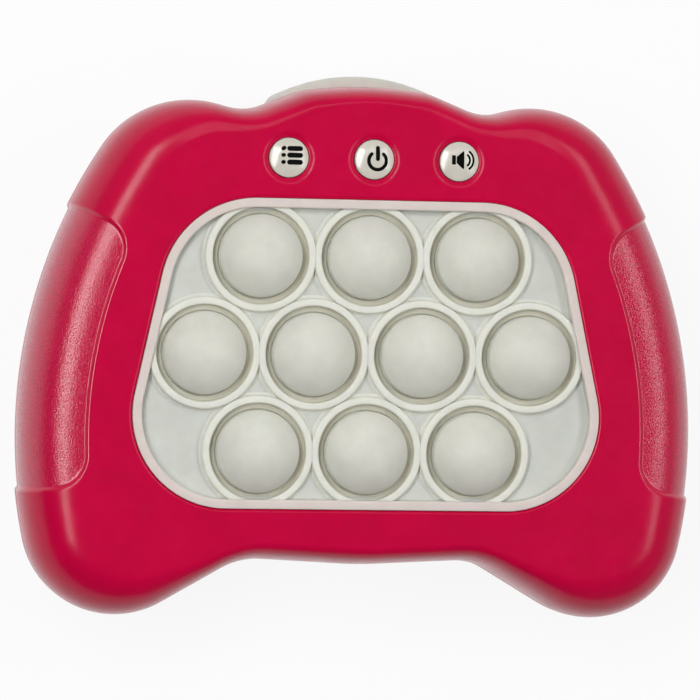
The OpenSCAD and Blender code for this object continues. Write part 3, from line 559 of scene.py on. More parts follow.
def shifted(colour, by):
    return tuple(min(255, max(0, c + by)) for c in colour)


def pink_plastic(name, specular, lo, hi):
    look = Look(name, Specular_IOR_Level=specular, IOR=1.48)
    look.mottle(9, (194, 0, 58), (204, 0, 64))
    fine = look.noise(0.26, 3, 0.65)
    scratch = look.span(look.noise(0.5, 2, 0.4, (0.25, 3.0, 1)), 0.66, 0.72, 0, 1)
    look.rough(look.noise(3.0, 4, 0.7), lo, hi)
    look.bump(look.math("SUBTRACT", fine, look.math("MULTIPLY", scratch, 0.2)), 0.012)
    return look.mat


def pink_grip():
    """Grained plastic of the grip panels, with painted shade in the hollows of the grain and a painted
    sparkle on its tops.
    """
    look = Look("case_pink_grip", Specular_IOR_Level=0.7, IOR=1.5)
    sand = look.cells(0.36)
    fine = look.noise(0.32, 2, 0.6)
    grain = look.math("ADD", look.math("MULTIPLY", sand, -0.5), fine)
    # colour follows the grain's height: darker hollows are painted shade, paler whiter tops a painted
    # sparkle
    look.colours(grain, [(0.05, (178, 0, 50)), (0.25, (196, 0, 62)), (0.5, (216, 14, 84))])
    look.rough(fine, 0.2, 0.14, 0.35, 0.65)
    look.bump(grain, 0.068)
    return look.mat


def silicone(name, base, lo=0.5, hi=0.62):
    look = Look(name, Subsurface_Weight=0.3, Subsurface_Scale=0.0025, Specular_IOR_Level=0.3, IOR=1.41)
    look.shader.inputs["Subsurface Radius"].default_value = (1.0, 0.85, 0.6)
    look.mottle(5, shifted(base, -5), shifted(base, 4))
    look.rough(look.noise(1.6, 3, 0.6), lo, hi)
    waves = look.math("MULTIPLY", look.noise(4, 2), 1.5)
    look.bump(look.math("ADD", look.noise(0.35, 3, 0.6), waves), 0.012)
    return look.mat


def plastic(name, base, lo, hi, grain=0.006, coat=0.0, specular=0.5):
    look = Look(name, Coat_Weight=coat, Coat_Roughness=0.06, IOR=1.5, Specular_IOR_Level=specular)
    look.mottle(4, shifted(base, -6), shifted(base, 5))
    look.rough(look.noise(1.2, 4, 0.65), lo, hi)
    look.bump(look.noise(0.3, 3, 0.6), grain)
    return look.mat


def brushed_steel():
    look = Look("screw_steel", Metallic=1.0)
    brushed = look.noise(0.5, 4, 0.6, (1, 1, 8))
    look.colours(brushed, [(0.3, (166, 168, 170)), (0.7, (196, 198, 200))])
    look.rough(look.noise(0.8, 3, 0.6), 0.22, 0.38)
    look.bump(brushed, 0.004)
    return look.mat


def board_look():
    look = Look("board_mask", IOR=1.5, Coat_Weight=0.3, Coat_Roughness=0.12)
    tracks = look.span(look.noise(2.2, 1, 0.3, (1, 0.35, 1)), 0.5, 0.54, 0, 1)
    look.colours(tracks, [(0.2, (18, 84, 44)), (0.8, (34, 116, 62))])
    look.rough(look.noise(1.5, 3), 0.3, 0.42)
    look.bump(tracks, 0.03)
    return look.mat


def cell_look():
    """Wrapped cell: a blue wrap and a light end, parted across X."""
    look = Look("cell_wrap", IOR=1.5, Coat_Weight=0.6, Coat_Roughness=0.1)
    split = look.node("SeparateXYZ")
    look.link(look.mm, split.inputs[0])
    band = look.span(split.outputs["X"], 9.0, 9.2, 0, 1)
    look.colours(band, [(0.2, (58, 108, 170)), (0.8, (205, 205, 206))])
    look.rough(look.noise(1.2, 3), 0.2, 0.32)
    look.bump(look.noise(0.6, 2), 0.004)
    return look.mat


PINK, GRIP = pink_plastic("case_pink_satin", 0.25, 0.2, 0.26), pink_grip()
EDGE = pink_plastic("case_pink_edge", 0.65, 0.13, 0.18)
PAD = silicone("silicone_pad", (209, 211, 204))
# lighter copy of the pad's silicone on the ring crests and their outer slopes: painted light
CREST_LIT = silicone("silicone_ring_lit", (229, 229, 219))
# tan copy of the silicone for the wells and the webs at their foot: painted shade of the deep wells
WELL_SHADE = silicone("silicone_well_shade", (220, 217, 201))
DOME = silicone("silicone_bubble", (220, 220, 210), 0.42, 0.56)
# pink-tinted copy of the silicone on the rim: painted pink light bled from the case
RIM = silicone("silicone_rim", (223, 211, 205))
CAP = plastic("button_gloss", (214, 209, 197), 0.14, 0.2, 0.001, 0.3)
INK = plastic("symbol_ink", (8, 8, 8), 0.5, 0.65, 0.001, 0.0, 0.06)
WHITE = plastic("white_satin", (216, 216, 206), 0.32, 0.46)
BLACK = plastic("black_plastic", (34, 35, 38), 0.4, 0.55)
STEEL = brushed_steel()
LED = plastic("led_resin", (238, 238, 224), 0.08, 0.16, 0.001, 0.3)
LEAD = plastic("lead_rubber", (120, 24, 28), 0.45, 0.6)
BOARD, CELL = board_look(), cell_look()

# Inner pieces that keep the shape they have in the frame
INNER = (
    (WHITE, "pad_frame"), (BOARD, "main_board"), (LED, "bubble_leds"),
    (BLACK, "bar_switch", "bubble_switches", "button_switches", "controller_chip", "speaker"),
    (STEEL, "board_screws", "battery_springs", "battery_plates"),
    (LEAD, "speaker_leads", "battery_leads"), (CELL, "battery_1", "battery_2", "battery_3"),
)
for mat, *names in INNER:
    for name in names:
        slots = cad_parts[name].data.materials
        slots.clear()
        slots.append(mat)


# Case halves
def profile(x, y, front):
    """Rows of (inset, height from the parting line), from the seam to the flat face."""
    e = edge_at(x)
    c, drop = crease_at(x, y) if front else NO_CREASE
    top = HALF_H - drop

    def row(inset):
        return inset, top * rise(min(inset / e, 1)) + drop * knee(inset, c) / c

    first = rounding(WALL_LEVELS[-1] / HALF_H)
    if not front:
        border = BORDER + (BORDER_REAR - BORDER) * smooth((panel_distance(x, y) - BORDER_FROM) / BORDER_FADE)
    elif y < CREASE_Y:
        border = BORDER
    else:
        border = max(BORDER_TOP + (BORDER - BORDER_TOP) * crease_fade(x), c + CREASE_ROOM - e)
    rows = list(SEAM)
    rows += [row(e * rounding(z / HALF_H)) for z in WALL_LEVELS]
    rows += [row(e * (first + (1 - first) * k / ROUND_STEPS)) for k in range(1, ROUND_STEPS + 1)]
    rows += [row(e + border * share) for share in BORDER_SHARES]
    return rows


def lining(x):
    """Rows of the inner skin, as (inset, height from the parting line)."""
    e = max(edge_at(x) - LINING_CUT, LINING_EDGE)
    return [(WALL + e * rounding(z / (HALF_H - WALL)), z) for z in LINING_LEVELS]


def shell_grid(shape, front):
    """Outer rows with the grip panels set back, and the lining's rows, as loops of vertices."""
    way = 1 if front else -1
    columns, inner, depths = [], [], []
    for x, y, nx, ny in STATIONS:
        rows = profile(x, y, front)
        col, dcol = [], []
        for k, (inset, z) in enumerate(rows):
            a, b = rows[max(k - 1, 0)], rows[min(k + 1, len(rows) - 1)]
            di, dz = b[0] - a[0], b[1] - a[1]
            size = math.hypot(di, dz) or 1
            d = panel_distance(x - nx * inset, y - ny * inset)
            # the seam's rows are set straight back, and its first row at once
            sink = panel_sink(d) if k else PANEL_DEPTH * (d < STEP_MIDDLE)
            back, down = (dz / size, di / size) if k >= len(SEAM) else (1, 0)
            i2, z2 = inset + sink * back, z - sink * down
            col.append((x - nx * i2, y - ny * i2, PART_Z + way * z2))
            dcol.append(d)
        columns.append(col)
        depths.append(dcol)
        inner.append([(x - nx * i, y - ny * i, PART_Z + way * z) for i, z in lining(x)])
    rows = [shape.loop([c[k] for c in columns]) for k in range(len(columns[0]))]
    linings = [shape.loop([c[k] for c in inner]) for k in range(len(inner[0]))]
    return rows, linings, depths


def shell(front):
    """A case half with open faces, and the loops round its face outside and inside."""
    shape = Shape()
    rows, linings, depths = shell_grid(shape, front)
    n = len(STATIONS)
    slot = [abs(s[0]) < SLOT_X + SLOT_SLACK and s[1] > SLOT_Y for s in STATIONS]

    def open_quad(j):
        return not front and slot[j] and slot[(j + 1) % n]

    low_row, high_row = (len(SEAM) + WALL_LEVELS.index(z) for z in SLOT_LEVELS)
    low_in, high_in = (LINING_LEVELS.index(z) for z in SLOT_LEVELS)
    for k in range(len(rows) - 1):
        for j in range(n):
            if low_row <= k < high_row and open_quad(j):
                continue
            i = (j + 1) % n
            deep = max(depths[j][k], depths[i][k], depths[j][k + 1], depths[i][k + 1])
            quad = (rows[k][j], rows[k][i], rows[k + 1][i], rows[k + 1][j])
            shape.face(quad if front else quad[::-1], panel_material(deep))
    for k in range(len(linings) - 1):
        for j in range(n):
            if low_in <= k < high_in and open_quad(j):
                continue
            i = (j + 1) % n
            quad = (linings[k][j], linings[k + 1][j], linings[k + 1][i], linings[k][i])
            shape.face(quad if front else quad[::-1])
    shape.skin([linings[0], rows[0]], not front)
    if not front:
        # walls of the opening for the push bar
        spans = [j for j in range(n) if open_quad(j)]
        for j in spans:
            i = (j + 1) % n
            shape.face((rows[low_row][i], rows[low_row][j], linings[low_in][j], linings[low_in][i]))
            shape.face((rows[high_row][j], rows[high_row][i], linings[high_in][i], linings[high_in][j]))
        for j, flip in ((spans[0], False), ((spans[-1] + 1) % n, True)):
            outer = [rows[k][j] for k in range(low_row, high_row + 1)]
            inner = [linings[k][j] for k in range(low_in, high_in + 1)]
            face = outer + inner[::-1]
            shape.face(face if flip else face[::-1])
    return shape, rows[-1], linings[-1]


def window(grow, z, n=36, ends=12):
    """Window outline grown by a distance, anticlockwise from the middle of its lower edge."""
    vx, vy = LOWER_C[0] - UPPER_C[0], LOWER_C[1] - UPPER_C[1]
    a = math.atan2(vy, vx) + math.acos((PAD_TOP_R - PAD_LOW_R) / math.hypot(vx, vy))
    right = arc(LOWER_C, PAD_LOW_R + grow, -QUARTER, a, n) + arc(UPPER_C, PAD_TOP_R + grow, a, QUARTER, n)
    low = [(x, right[0][1]) for x in np.linspace(0, right[0][0], ends)[:-1]]
    high = [(x, right[-1][1]) for x in np.linspace(right[-1][0], 0, ends)[1:]]
    half = low + right + high
    return level(half + [(-x, y) for x, y in reversed(half[1:-1])], z)


def front_shell():
    shape, face, under = shell(True)
    # edge of the window, as (growth, depth below the face)
    edge = [(1.5, 0.0), (1.0, 0.0)] + fillet((0.85, 0.0), (0.3, 0.0), (0.0, 0.42), 8)
    edge += [(0.0, 0.7), (0.0, WALL)]
    first, last = hole(shape, [window(g, FACE_Z - d) for g, d in edge], True)
    tops, ends = [first], [last]
    # shallow dish round each button, and its bore, as (radius, depth)
    dish = [(6.2, 0.0)] + fillet((6.0, 0.0), (5.45, 0.0), (5.0, 0.26), 8) + [(4.85, 0.35)]
    dish += fillet((4.65, 0.45), (4.42, 0.48), (BORE_R, 0.7), 4) + [(BORE_R, 1.0), (BORE_R, WALL)]
    for c in BUTTONS.values():
        first, last = hole(shape, [circle(c, r, 64, FACE_Z - d) for r, d in dish], True)
        tops.append(first)
        ends.append(last)
    shape.flat(face, tops, True)
    shape.flat(under, ends, False)
    return shape.make("case_front", [PINK, GRIP, EDGE], "case", "case_pink")


def door_loop(grow, z, n=10, ear_n=24):
    """Door outline with its screw ear, anticlockwise."""
    x, y, r, ear_r = DOOR_X - DOOR_R, DOOR_Y - DOOR_R, DOOR_R + grow, EAR_R + grow
    pts = []
    for sx, sy, a in CORNERS:
        if (sx, sy) == (-1, 1):
            t = math.asin((DOOR_MID + y + r - EAR_Y) / ear_r)
            pts += arc((0.0, EAR_Y), ear_r, t, math.pi - t, ear_n)
        pts += arc((sx * x, DOOR_MID + sy * y), r, a, a + QUARTER, n)
    return level(pts, z)


def grille():
    """Places of the bores over the speaker, in a triangular pattern."""
    row = GRILLE_PITCH * math.sin(math.pi / 3)
    places = [(GRILLE_PITCH * (i + j / 2), row * j) for i in range(-2, 3) for j in range(-2, 3)]
    return [(x, SPEAKER_Y + y) for x, y in places if math.hypot(x, y) < GRILLE_R]


def rear_shell():
    shape, back, under = shell(False)
    rim = [(0.25, 0.0), (0.2, 0.02), (0.12, 0.1), (0.1, 0.3), (0.1, DOOR_DEPTH)]
    holes, ends = [pit(shape, [door_loop(DOOR_OUT + g, z) for g, z in rim])], []
    for c in SCREWS:
        well = [(2.85, 0.0), (2.79, 0.02), (2.65, 0.13), (2.6, 0.35), (2.6, SCREW_WELL_DEPTH)]
        holes.append(pit(shape, [circle(c, r, 32, z) for r, z in well]))
        first, last = hole(shape, [circle(c, COLUMN_R, 32, z) for z in (WALL, COLUMN_TOP)], True)
        ends.append(first)
        shape.flat(last, [], True)
    for c in grille():
        bore = [(1.35, 0.0), (1.28, 0.02), (1.14, 0.14), (1.1, 0.35), (1.1, WALL)]
        first, last = hole(shape, [circle(c, r, 24, z) for r, z in bore], False)
        holes.append(first)
        ends.append(last)
    shape.flat(back, holes, False)
    shape.flat(under, ends, True)
    return shape.make("case_rear", [PINK, GRIP, EDGE], "case", "case_pink")


def sleeve():
    """Guide of the push bar, behind the opening in the hump."""
    shape = Shape()

    def rect(half, y):
        x, low, high = half[0], BAR_Z - half[1], BAR_Z + half[1]
        return shape.loop([(-x, y, low), (x, y, low), (x, y, high), (-x, y, high)])

    outer = [rect(SLEEVE_OUT, y) for y in SLEEVE_Y]
    inner = [rect(SLEEVE_IN, y) for y in SLEEVE_Y]
    shape.skin([inner[1], inner[0], outer[0], outer[1], inner[1]])
    return shape.make("bar_sleeve", [PINK], "case", "case_pink")


def battery_door():
    shape = Shape()
    rim = [(-1.2, 0.0), (-0.4, 0.0), (-0.18, 0.05), (-0.04, 0.2), (0.0, 0.45), (0.0, DOOR_T)]
    loops = [shape.loop(door_loop(g - DOOR_IN, z)) for g, z in rim]
    shape.skin(loops, True)
    sink = [(2.85, 0.0), (2.7, 0.1), (2.6, 0.3), (2.6, 1.0)]
    holes = [pit(shape, [circle((0.0, EAR_Y), r, 32, z) for r, z in sink])]
    for k in range(GROOVES):
        y, w = GROOVE_Y + GROOVE_PITCH * k, GROOVE_X - GROOVE_TAPER * abs(k - GROOVES // 2)
        rows = ((0.0, 0.0), (-0.12, 0.12), (-0.3, 0.35))
        holes.append(pit(shape, [level(capsule((-w, y), (w, y), GROOVE_R + g), z) for g, z in rows]))
    shape.flat(loops[0], holes, False)
    shape.flat(loops[-1], [], True)
    return shape.make("door_plate", [PINK], "case", "case_pink")


def screws(name, places, low):
    """Pan-head screws seen from below, with a cross recess."""
    shape = Shape()
    for c in places:
        head = [shape.loop(circle(c, r, 48, low + dz)) for r, dz in SCREW_HEAD]
        shape.skin(head, True)
        cross = []
        for k in range(4):
            a = math.radians(45 + 90 * k)
            for u, v in CROSS_ARM:
                cross.append((u * math.cos(a) - v * math.sin(a), u * math.sin(a) + v * math.cos(a)))
        upper, deep = (shape.loop([(c[0] + x * k, c[1] + y * k, z) for x, y in cross])
                       for k, z in ((1, low), (CROSS_TAPER, low + CROSS_DEPTH)))
        shape.flat(head[-1], [upper], False)
        shape.strip(upper, deep)
        shape.flat(deep, [], False)
        shank = [shape.loop(circle(c, SCREW_R, 24, z)) for z in (low + SCREW_HEAD[0][1], low + SCREW_L)]
        shape.skin(shank)
        shape.flat(head[0], [shank[0]], True)
        shape.flat(shank[1], [], True)
    return shape.make(name, [STEEL], "case", "steel")


# Keypad
def keypad():
    """Rim and sheet of the keypad, with a hole for each well."""
    shape = Shape()
    rows = [(FLANGE_W, SHEET_Z), (FLANGE_W, 37.4), (2.85, FLANGE_TOP)]
    rows += [(RIM_OUTER, FLANGE_TOP), (RIM_OUTER, 39.7)]
    rows += fillet((RIM_OUTER, 40.08), (RIM_OUTER, RIM_TOP), (-0.3, RIM_TOP), 4)
    rows += [(-1.2, RIM_TOP)] + fillet((-1.65, RIM_TOP), (RIM_INNER, RIM_TOP), (RIM_INNER, 39.85), 5)
    rim = len(rows)
    rows += [(RIM_INNER, 39.3), (RIM_INNER, 38.2)]
    rows += fillet((RIM_INNER, 37.95), (RIM_INNER, INNER_Z), (-2.45, INNER_Z), 3)
    loops = [shape.loop(window(g, z)) for g, z in rows]
    for k, (a, b) in enumerate(zip(loops, loops[1:])):
        # rim strips take the pink painted-light silicone, the rest the plain pad
        shape.strip(a, b, 1 if k < rim else 0)
    tops, ends = [], []
    for c in BUBBLES:
        edge = []
        for a in np.linspace(0, 2 * math.pi, WELL_SIDES, endpoint=False):
            r = min(WELL_R, reach(c, a) - WELL_ROOM)
            edge.append((c[0] + r * math.cos(a), c[1] + r * math.sin(a)))
        tops.append(shape.loop(level(edge, INNER_Z)))
        ends.append(shape.loop(level(edge, SHEET_Z)))
        shape.strip(ends[-1], tops[-1])
    shape.flat(loops[-1], tops, True)
    shape.flat(loops[0], ends, False)
    return shape.make("keypad_sheet", [PAD, RIM], "case", "silicone")


MID_RIM = np.array([(x, y) for x, y, _ in window(RIM_MIDDLE, 0)])


def reach(c, a):
    """Distance from c to the middle of the rim, in direction a."""
    rx, ry = (MID_RIM - c).T
    ex, ey = (np.roll(MID_RIM, -1, 0) - MID_RIM).T
    dx, dy = math.cos(a), math.sin(a)
    det = ex * dy - dx * ey
    with np.errstate(divide="ignore", invalid="ignore"):
        t, u = (ex * ry - rx * ey) / det, (dx * ry - dy * rx) / det
    return float(t[(t > 0) & (u > -1e-6) & (u < 1 + 1e-6)].min())


def ring(k, c):
    """Raised ring round a bubble, with the floor and the steep wall of its well, cut off at the rim."""
    shape = Shape()
    floor, crest = WELL_FLOOR, RING_CREST
    prof = [(9.22, SHEET_Z), (9.22, 36.7)] + fillet((9.24, 36.85), (9.26, floor), (9.5, floor), 4)
    prof += fillet((10.05, floor), (10.38, floor), (10.4, 37.5), 5) + [(10.42, 38.6)]
    well = len(prof)
    prof += fillet((10.44, 38.85), (10.5, crest), (10.95, crest), 6) + [(11.2, crest)]
    prof += fillet((11.5, crest), (RING_R, crest), (12.05, 38.85), 6)
    prof += fillet((12.1, 38.5), (12.15, 37.62), (12.9, 37.59), 7)
    prof += [(12.6, 37.2), (12.2, 36.4), (11.7, 36.2)]
    angles = [2 * math.pi * j / RING_SIDES for j in range(RING_SIDES)]
    limits = [reach(c, a) for a in angles]
    loops = []
    for r, z in prof:
        pts = []
        for a, limit in zip(angles, limits):
            s = min(r, limit - (RING_R - r) * RING_LEAN)
            pts.append((c[0] + s * math.cos(a), c[1] + s * math.sin(a), z))
        loops.append(shape.loop(pts))
    # strips up the well take the tan painted-shade silicone, the crest and its outer slope the lighter
    # painted-light copy
    for j, (a, b) in enumerate(zip(loops, loops[1:] + loops[:1])):
        shape.strip(b, a, 1 if j < well else 0)
    return shape.make(f"ring_{k}", [CREST_LIT, WELL_SHADE], "case", "silicone", 60)


def web(k, c):
    """Thin skin that joins a bubble to the foot of its well."""
    shape = Shape()
    out, back = [], []
    for i in range(WEB_STEPS + 1):
        t = i / WEB_STEPS
        r, z = WEB_R - WEB_IN * t, WEB_TOP - WEB_DROP * t
        out.append(shape.loop(circle(c, r, 72, z)))
        back.append(shape.loop(circle(c, r + WEB_T, 72, z)))
    shape.skin(out, True)
    shape.skin(back)
    shape.strip(back[0], out[0])
    shape.strip(out[-1], back[-1])
    piece = shape.make(f"web_{k}", [WELL_SHADE], None, "silicone", 80)
    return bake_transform(piece)


def dome(k, c):
    """Bubble: round cap, undercut foot, hollow inside, and the plunger in its middle."""
    shape = Shape()
    radii = np.linspace(0, DOME_CAP_R, 24)[1:]
    cap = [(r, DOME_TOP - DOME_R + math.sqrt(DOME_R ** 2 - r * r)) for r in radii]
    prof = [(0.0, DOME_TOP)] + cap
    prof += fillet((8.74, cap[-1][1] - 0.06), (8.98, 39.72), (8.97, 39.4), 6)
    prof += [(8.8, 38.4), (8.5, 37.0), (8.6, 36.5), (8.92, 36.1), (8.75, DOME_FOOT)]
    for i in range(HOLLOW_STEPS):
        a = math.pi / 2 * i / HOLLOW_STEPS
        prof.append((HOLLOW_R * math.cos(a), DOME_FOOT + HOLLOW_H * math.sin(a)))
    prof += [(PLUNGER_R, PLUNGER_TOP), (PLUNGER_R, 35.2), (1.9, PLUNGER_LOW), (0.0, PLUNGER_LOW)]
    lathe(shape, prof, c, 80)
    piece = shape.make(f"dome_{k}", [DOME], f"bubble_{k}", "silicone", 50)
    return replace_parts(piece, f"bubble_{k}")


# Buttons and their symbols
def crown(r):
    return CAP_TOP - CROWN_DROP * (r / CROWN_R) ** 2


def button(name, c):
    shape = Shape()
    prof = [(0.0, CAP_TOP)] + [(r, crown(r)) for r in np.linspace(0.4, 3.72, 10)]
    prof += fillet((3.78, crown(3.78)), (4.22, crown(4.2) + 0.02), (CAP_R, CAP_EDGE_Z), 7)
    prof += [(CAP_R, 39.3), (CAP_R, CAP_FLANGE_TOP), (CAP_FLANGE_R, CAP_FLANGE_TOP)]
    prof += [(CAP_FLANGE_R, CAP_FLANGE_LOW), (STEM_R, CAP_FLANGE_LOW), (STEM_R, STEM_LOW), (0.0, STEM_LOW)]
    lathe(shape, prof, c, 72)
    piece = shape.make(f"{name}_cap", [CAP], name, "button_white", 50)
    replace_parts(piece, name)


def bow(c, r, a0, a1, half, n=40, end_n=6):
    """Curved stroke with round ends, from angle a0 to a1 in degrees."""
    a0, a1 = math.radians(a0), math.radians(a1)

    def end(a, start):
        middle = (c[0] + r * math.cos(a), c[1] + r * math.sin(a))
        return arc(middle, half, start, start + math.pi, end_n)[1:-1]

    return arc(c, r + half, a0, a1, n) + end(a1, a1) + arc(c, r - half, a1, a0, n) + end(a0, a0 + math.pi)


def dense(poly):
    """Outline with points added along its long edges."""
    out = []
    for a, b in zip(poly, poly[1:] + poly[:1]):
        n = max(1, math.ceil(math.dist(a, b) / STROKE_STEP))
        out += [(a[0] + (b[0] - a[0]) * k / n, a[1] + (b[1] - a[1]) * k / n) for k in range(n)]
    return out


def symbol(name, button_name, polys):
    """Printed symbol: thin pads that follow the crown of the button."""
    shape = Shape()
    cx, cy = BUTTONS[button_name]
    for poly in map(dense, polys):
        part = Shape()
        outline = part.loop(level(poly, 0))
        arr = np.array(poly)
        extra = []
        for gx in np.arange(arr[:, 0].min() + FILL_START, arr[:, 0].max(), FILL_STEP):
            for gy in np.arange(arr[:, 1].min() + FILL_START, arr[:, 1].max(), FILL_STEP):
                near = np.hypot(arr[:, 0] - gx, arr[:, 1] - gy).min()
                if within(arr, (gx, gy)) and near > FILL_ROOM:
                    extra.append((gx, gy))
        part.flat(outline, [], True, extra)
        top, foot = (shape.loop([(cx + x, cy + y, crown(math.hypot(x, y)) + lift) for x, y, _ in part.v])
                     for lift in (INK_TOP, INK_FOOT))
        for f in part.f:
            shape.face([top[i] for i in f])
            shape.face([foot[i] for i in reversed(f)])
        n = len(poly)
        area = sum(p[0] * q[1] - q[0] * p[1] for p, q in zip(poly, poly[1:] + poly[:1]))
        shape.skin([foot[:n], top[:n]], area < 0)
    return shape.make(name, [INK], button_name, "black_plastic", 50)


def symbols():
    """List, power and loudspeaker marks, each measured from the middle of its button."""
    rows = (1.95, 0.5, -1.0)
    bars = [capsule((0.0, y), (2.4, y), 0.54) for y in rows]
    for y, tilt in zip(rows, (0.12, 0.0, 0.0)):
        bars.append(capsule((-1.38, y - tilt / 2), (-1.24 + tilt, y + tilt), 0.43))
    symbol("menu_symbol", "menu_button", bars)
    power = [bow((0.56, -0.26), 1.92, 132, 408, 0.38), capsule((0.6, 2.5), (0.6, 0.1), 0.45)]
    symbol("power_symbol", "power_button", power)
    cone = [(-0.76, -0.34), (0.7, -1.62), (0.86, -1.58), (0.92, -1.42)]
    cone += [(0.92, 2.02), (0.86, 2.18), (0.7, 2.22), (-0.76, 0.94)]
    block = [(-1.66, -0.7), (-0.95, -0.7), (-0.92, -0.66), (-0.92, 1.26)]
    block += [(-0.95, 1.3), (-1.66, 1.3), (-1.75, 1.2), (-1.75, -0.6)]
    waves = [bow((0.7, 0.3), 1.5, -48, 48, 0.24, 20), bow((0.7, 0.3), 2.32, -52, 52, 0.24, 26)]
    symbol("sound_symbol", "sound_button", [cone, block] + waves)


# Push bar
def bar_outline(o, n=8, edge_n=21):
    """Bar's front outline in X and Z, set in by o."""
    r = max(BAR_CORNER - o, 0.25)
    x, h = BAR_X - o - r, BAR_H / 2 - o
    pts = []
    for sx, sz, a in CORNERS:
        pts += arc((sx * x, BAR_Z + sz * (h - r)), r, a, a + QUARTER, n)
        if sx == sz:
            pts += [(sx * t, BAR_Z + sz * h) for t in np.linspace(x, -x, edge_n)[1:-1]]
    return pts


def bar_front(x):
    return BAR_FRONT - (BAR_R - math.sqrt(BAR_R ** 2 - x * x))


def bar_body():
    """Bar with its bowed, rounded front and its stop flange, laid out in X and Z with Y as its height."""
    shape = Shape()
    loops = []
    for o in BAR_STEPS:
        drop = BAR_ROUND - math.sqrt(BAR_ROUND ** 2 - (BAR_ROUND - o) ** 2)
        loops.append(shape.loop([(x, z, bar_front(x) - drop) for x, z in bar_outline(o)]))
    inside = [(x, BAR_Z + z) for x in np.arange(-17, 17.5, 1.0) for z in (-2.0, -1.0, 0.0, 1.0, 2.0)]
    start = len(shape.v)
    shape.flat(loops[-1], [], False, inside)
    for i in range(start, len(shape.v)):
        x, z, _ = shape.v[i]
        shape.v[i] = (x, z, bar_front(x))
    shape.skin(loops, True)
    back = shape.loop(level(bar_outline(0.0), FLANGE_FRONT))
    shape.strip(loops[0], back)
    flange = [(sx * BAR_FLANGE_X, BAR_Z + sz * BAR_FLANGE_H) for sx, sz, _ in CORNERS]
    front_loop, back_loop = (shape.loop(level(flange, y)) for y in (FLANGE_FRONT, FLANGE_BACK))
    shape.flat(front_loop, [back], False)
    shape.strip(front_loop, back_loop)
    shape.flat(back_loop, [], True)
    shape.v = [(x, y, z) for x, z, y in shape.v]
    return shape.make("bar_body", [WHITE], "push_bar", "white_plastic", 40)


def bar_finger():
    """Finger on the bar's flange that works its switch."""
    shape = Shape()
    rows = []
    for z, g in ((FINGER_LOW, 0.0), (FINGER_TOP - FINGER_EDGE, 0.0), (FINGER_TOP, FINGER_EDGE)):
        x, back, front = FINGER_X - g, FLANGE_BACK + g, FLANGE_FRONT - g
        rows.append(shape.loop([(-x, back, z), (x, back, z), (x, front, z), (-x, front, z)]))
    shape.skin(rows)
    shape.face(rows[2])
    shape.face(rows[0][::-1])
    shape.make("bar_finger", [WHITE], "push_bar", "white_plastic", 40)


def coil_share(u):
    """Share of a coil's length at share u of its turns, with closed turns at both ends."""
    if u < COIL_CLOSE:
        return u * u / (2 * COIL_CLOSE * (1 - COIL_CLOSE))
    if u > 1 - COIL_CLOSE:
        return 1 - coil_share(1 - u)
    return (u - COIL_CLOSE / 2) / (1 - COIL_CLOSE)


def bar_springs():
    """Two return springs between their seats and the bar's flange."""
    shape = Shape()
    low, high = SPRING_SEAT + SPRING_GAP, FLANGE_BACK - SPRING_GAP
    steps = COIL_TURNS * COIL_STEPS
    for cx in (-SPRING_X, SPRING_X):
        path = []
        for k in range(steps + 1):
            a = 2 * math.pi * k / COIL_STEPS
            y = low + (high - low) * coil_share(k / steps)
            path.append(Vector((cx + SPRING_R * math.cos(a), y, BAR_Z + SPRING_R * math.sin(a))))
        loops = []
        for k, p in enumerate(path):
            along = (path[min(k + 1, steps)] - path[max(k - 1, 0)]).normalized()
            out = Vector((p.x - cx, 0, p.z - BAR_Z)).normalized()
            out = (out - along * out.dot(along)).normalized()
            side = along.cross(out)
            turns = [2 * math.pi * i / WIRE_SIDES for i in range(WIRE_SIDES)]
            loops.append(shape.loop([p + WIRE_R * (out * math.cos(t) + side * math.sin(t)) for t in turns]))
        shape.skin(loops)
        shape.face(loops[0][::-1])
        shape.face(loops[-1])
    piece = shape.make("return_springs", [STEEL], None, "steel", 60)
    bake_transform(piece)
    return piece


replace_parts(front_shell(), "front_shell")
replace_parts(rear_shell(), "rear_shell")
sleeve()
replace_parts(battery_door(), "battery_door")
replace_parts(screws("door_screw_head", [(0.0, EAR_Y)], 0.25), "door_screw")
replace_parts(screws("case_screw_heads", SCREWS, 8.5), "case_screws")
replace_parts(keypad(), "bubble_pad")
for number, place in enumerate(BUBBLES, 1):
    ring(number, place)
    web(number, place)
    dome(number, place)
for button_name, place in BUTTONS.items():
    button(button_name, place)
symbols()
bar = bar_body()
bar_finger()
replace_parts(bar, "push_bar")
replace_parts(bar_springs(), "bar_springs")

# Floor, light and camera; floor in millimetres, lamps and camera in metres
FLOOR_HALF, FLOOR_Z, FLOOR_TONE, FLOOR_GLOW = 4000, -0.05, (0.9, 0.9, 0.9, 1), 0.9
AIM = Vector((0, 0, 0.02))
CAMERA_X, CAMERA_Y, CAMERA_ROLL, CAMERA_DISTANCE = -0.1548, 0.0066, 0.0176, 0.9
CAMERA_AIM = Vector((-0.000989, -0.001031, 0.020))
PICTURE_PIXELS, MM_PER_PIXEL, SENSOR_W = 700, 0.2205, 36


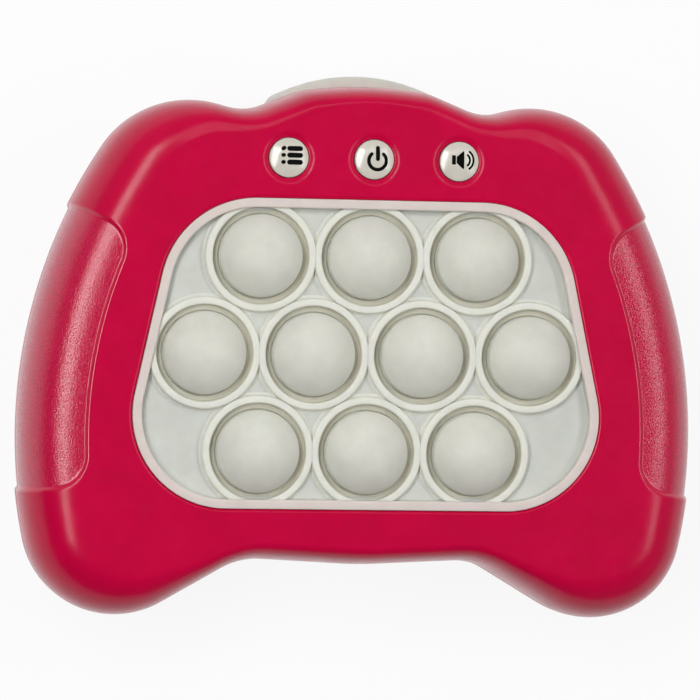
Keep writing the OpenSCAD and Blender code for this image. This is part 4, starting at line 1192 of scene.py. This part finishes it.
def floor_look():
    """White to camera, glossy and transmission rays, pale grey to others, and clear from below."""
    mat = bpy.data.materials.new("pale_floor")
    graph = Graph(mat)
    graph.tree.nodes.clear()
    path = graph.node("LightPath").outputs
    seen = graph.math("MAXIMUM", path["Is Camera Ray"], path["Is Glossy Ray"])
    seen = graph.math("MAXIMUM", seen, path["Is Transmission Ray"])
    diffuse = graph.node("BsdfDiffuse")
    diffuse.inputs["Color"].default_value = FLOOR_TONE
    glow = graph.node("Emission")
    glow.inputs["Strength"].default_value = 1.0
    above = graph.mix(graph.math("MULTIPLY", seen, FLOOR_GLOW), diffuse.outputs[0], glow.outputs[0])
    backfacing = graph.node("NewGeometry").outputs["Backfacing"]
    both = graph.mix(backfacing, above, graph.node("BsdfTransparent").outputs[0])
    graph.link(both, graph.node("OutputMaterial").inputs[0])
    return mat


def floor():
    shape = Shape()
    shape.face(shape.loop([(sx * FLOOR_HALF, sy * FLOOR_HALF, FLOOR_Z) for sx, sy, _ in CORNERS]))
    obj = shape.make("floor", [floor_look()], None)


def lamp(name, direction, distance, size, power):
    """Rectangular lamp that points at the middle of the game."""
    light = bpy.data.lights.new(name, "AREA")
    light.shape = "RECTANGLE"
    light.size, light.size_y = size
    light.energy = power
    obj = bpy.data.objects.new(name, light)
    d = Vector(direction).normalized()
    obj.location = AIM + d * distance
    obj.rotation_euler = d.to_track_quat("Z", "Y").to_euler()
    bpy.context.scene.collection.objects.link(obj)


def studio():
    """Pale surroundings, dimmer overhead and on one side."""
    world = bpy.data.worlds.new("studio")
    bpy.context.scene.world = world
    graph = Graph(world)
    back = graph.tree.nodes["Background"].inputs
    back["Color"].default_value = (1, 1, 1, 1)
    where = graph.node("TexCoord").outputs["Generated"]
    levels = []
    for direction, fade in (((0, 0, 1), (0.05, 0.8, 0.5, 0.18)), ((0.75, 0.66, 0), (-0.8, 0.7, 0.2, 1.0))):
        along = graph.node("VectorMath", operation="DOT_PRODUCT")
        along.inputs[1].default_value = direction
        graph.link(where, along.inputs[0])
        levels.append(graph.span(along.outputs["Value"], *fade))
    graph.link(graph.math("MULTIPLY", *levels), back["Strength"])


def camera():
    """The photo's view: a little from the left, and turned a little."""
    d = Vector((CAMERA_X, CAMERA_Y, 0.0))
    d.z = math.sqrt(1 - d.length_squared)
    right = Vector((0, 1, 0)).cross(d).normalized()
    up = d.cross(right)
    data = bpy.data.cameras.new("camera")
    data.sensor_width = SENSOR_W
    data.lens = SENSOR_W * CAMERA_DISTANCE / MM / (MM_PER_PIXEL * PICTURE_PIXELS)
    data.clip_end = 20
    obj = bpy.data.objects.new("camera", data)
    m = Matrix((right, up, d)).transposed().to_4x4() @ Matrix.Rotation(CAMERA_ROLL, 4, "Z")
    m.translation = CAMERA_AIM + d * CAMERA_DISTANCE
    obj.matrix_world = m
    bpy.context.scene.collection.objects.link(obj)
    bpy.context.scene.camera = obj


floor()
lamp("softbox_left", (-0.44, 0.12, 0.89), 0.75, (0.6, 0.18), 3.1)
lamp("softbox_right", (0.57, 0.12, 0.82), 0.75, (0.6, 0.16), 1.5)
lamp("strip_top", (-0.12, 0.42, 0.9), 0.75, (0.7, 0.12), 0.6)
lamp("side_fill", (-0.72, 0.42, 0.5), 1.0, (1.3, 0.9), 0.4)
studio()
camera()
bpy.context.scene.view_settings.view_transform = "Standard"
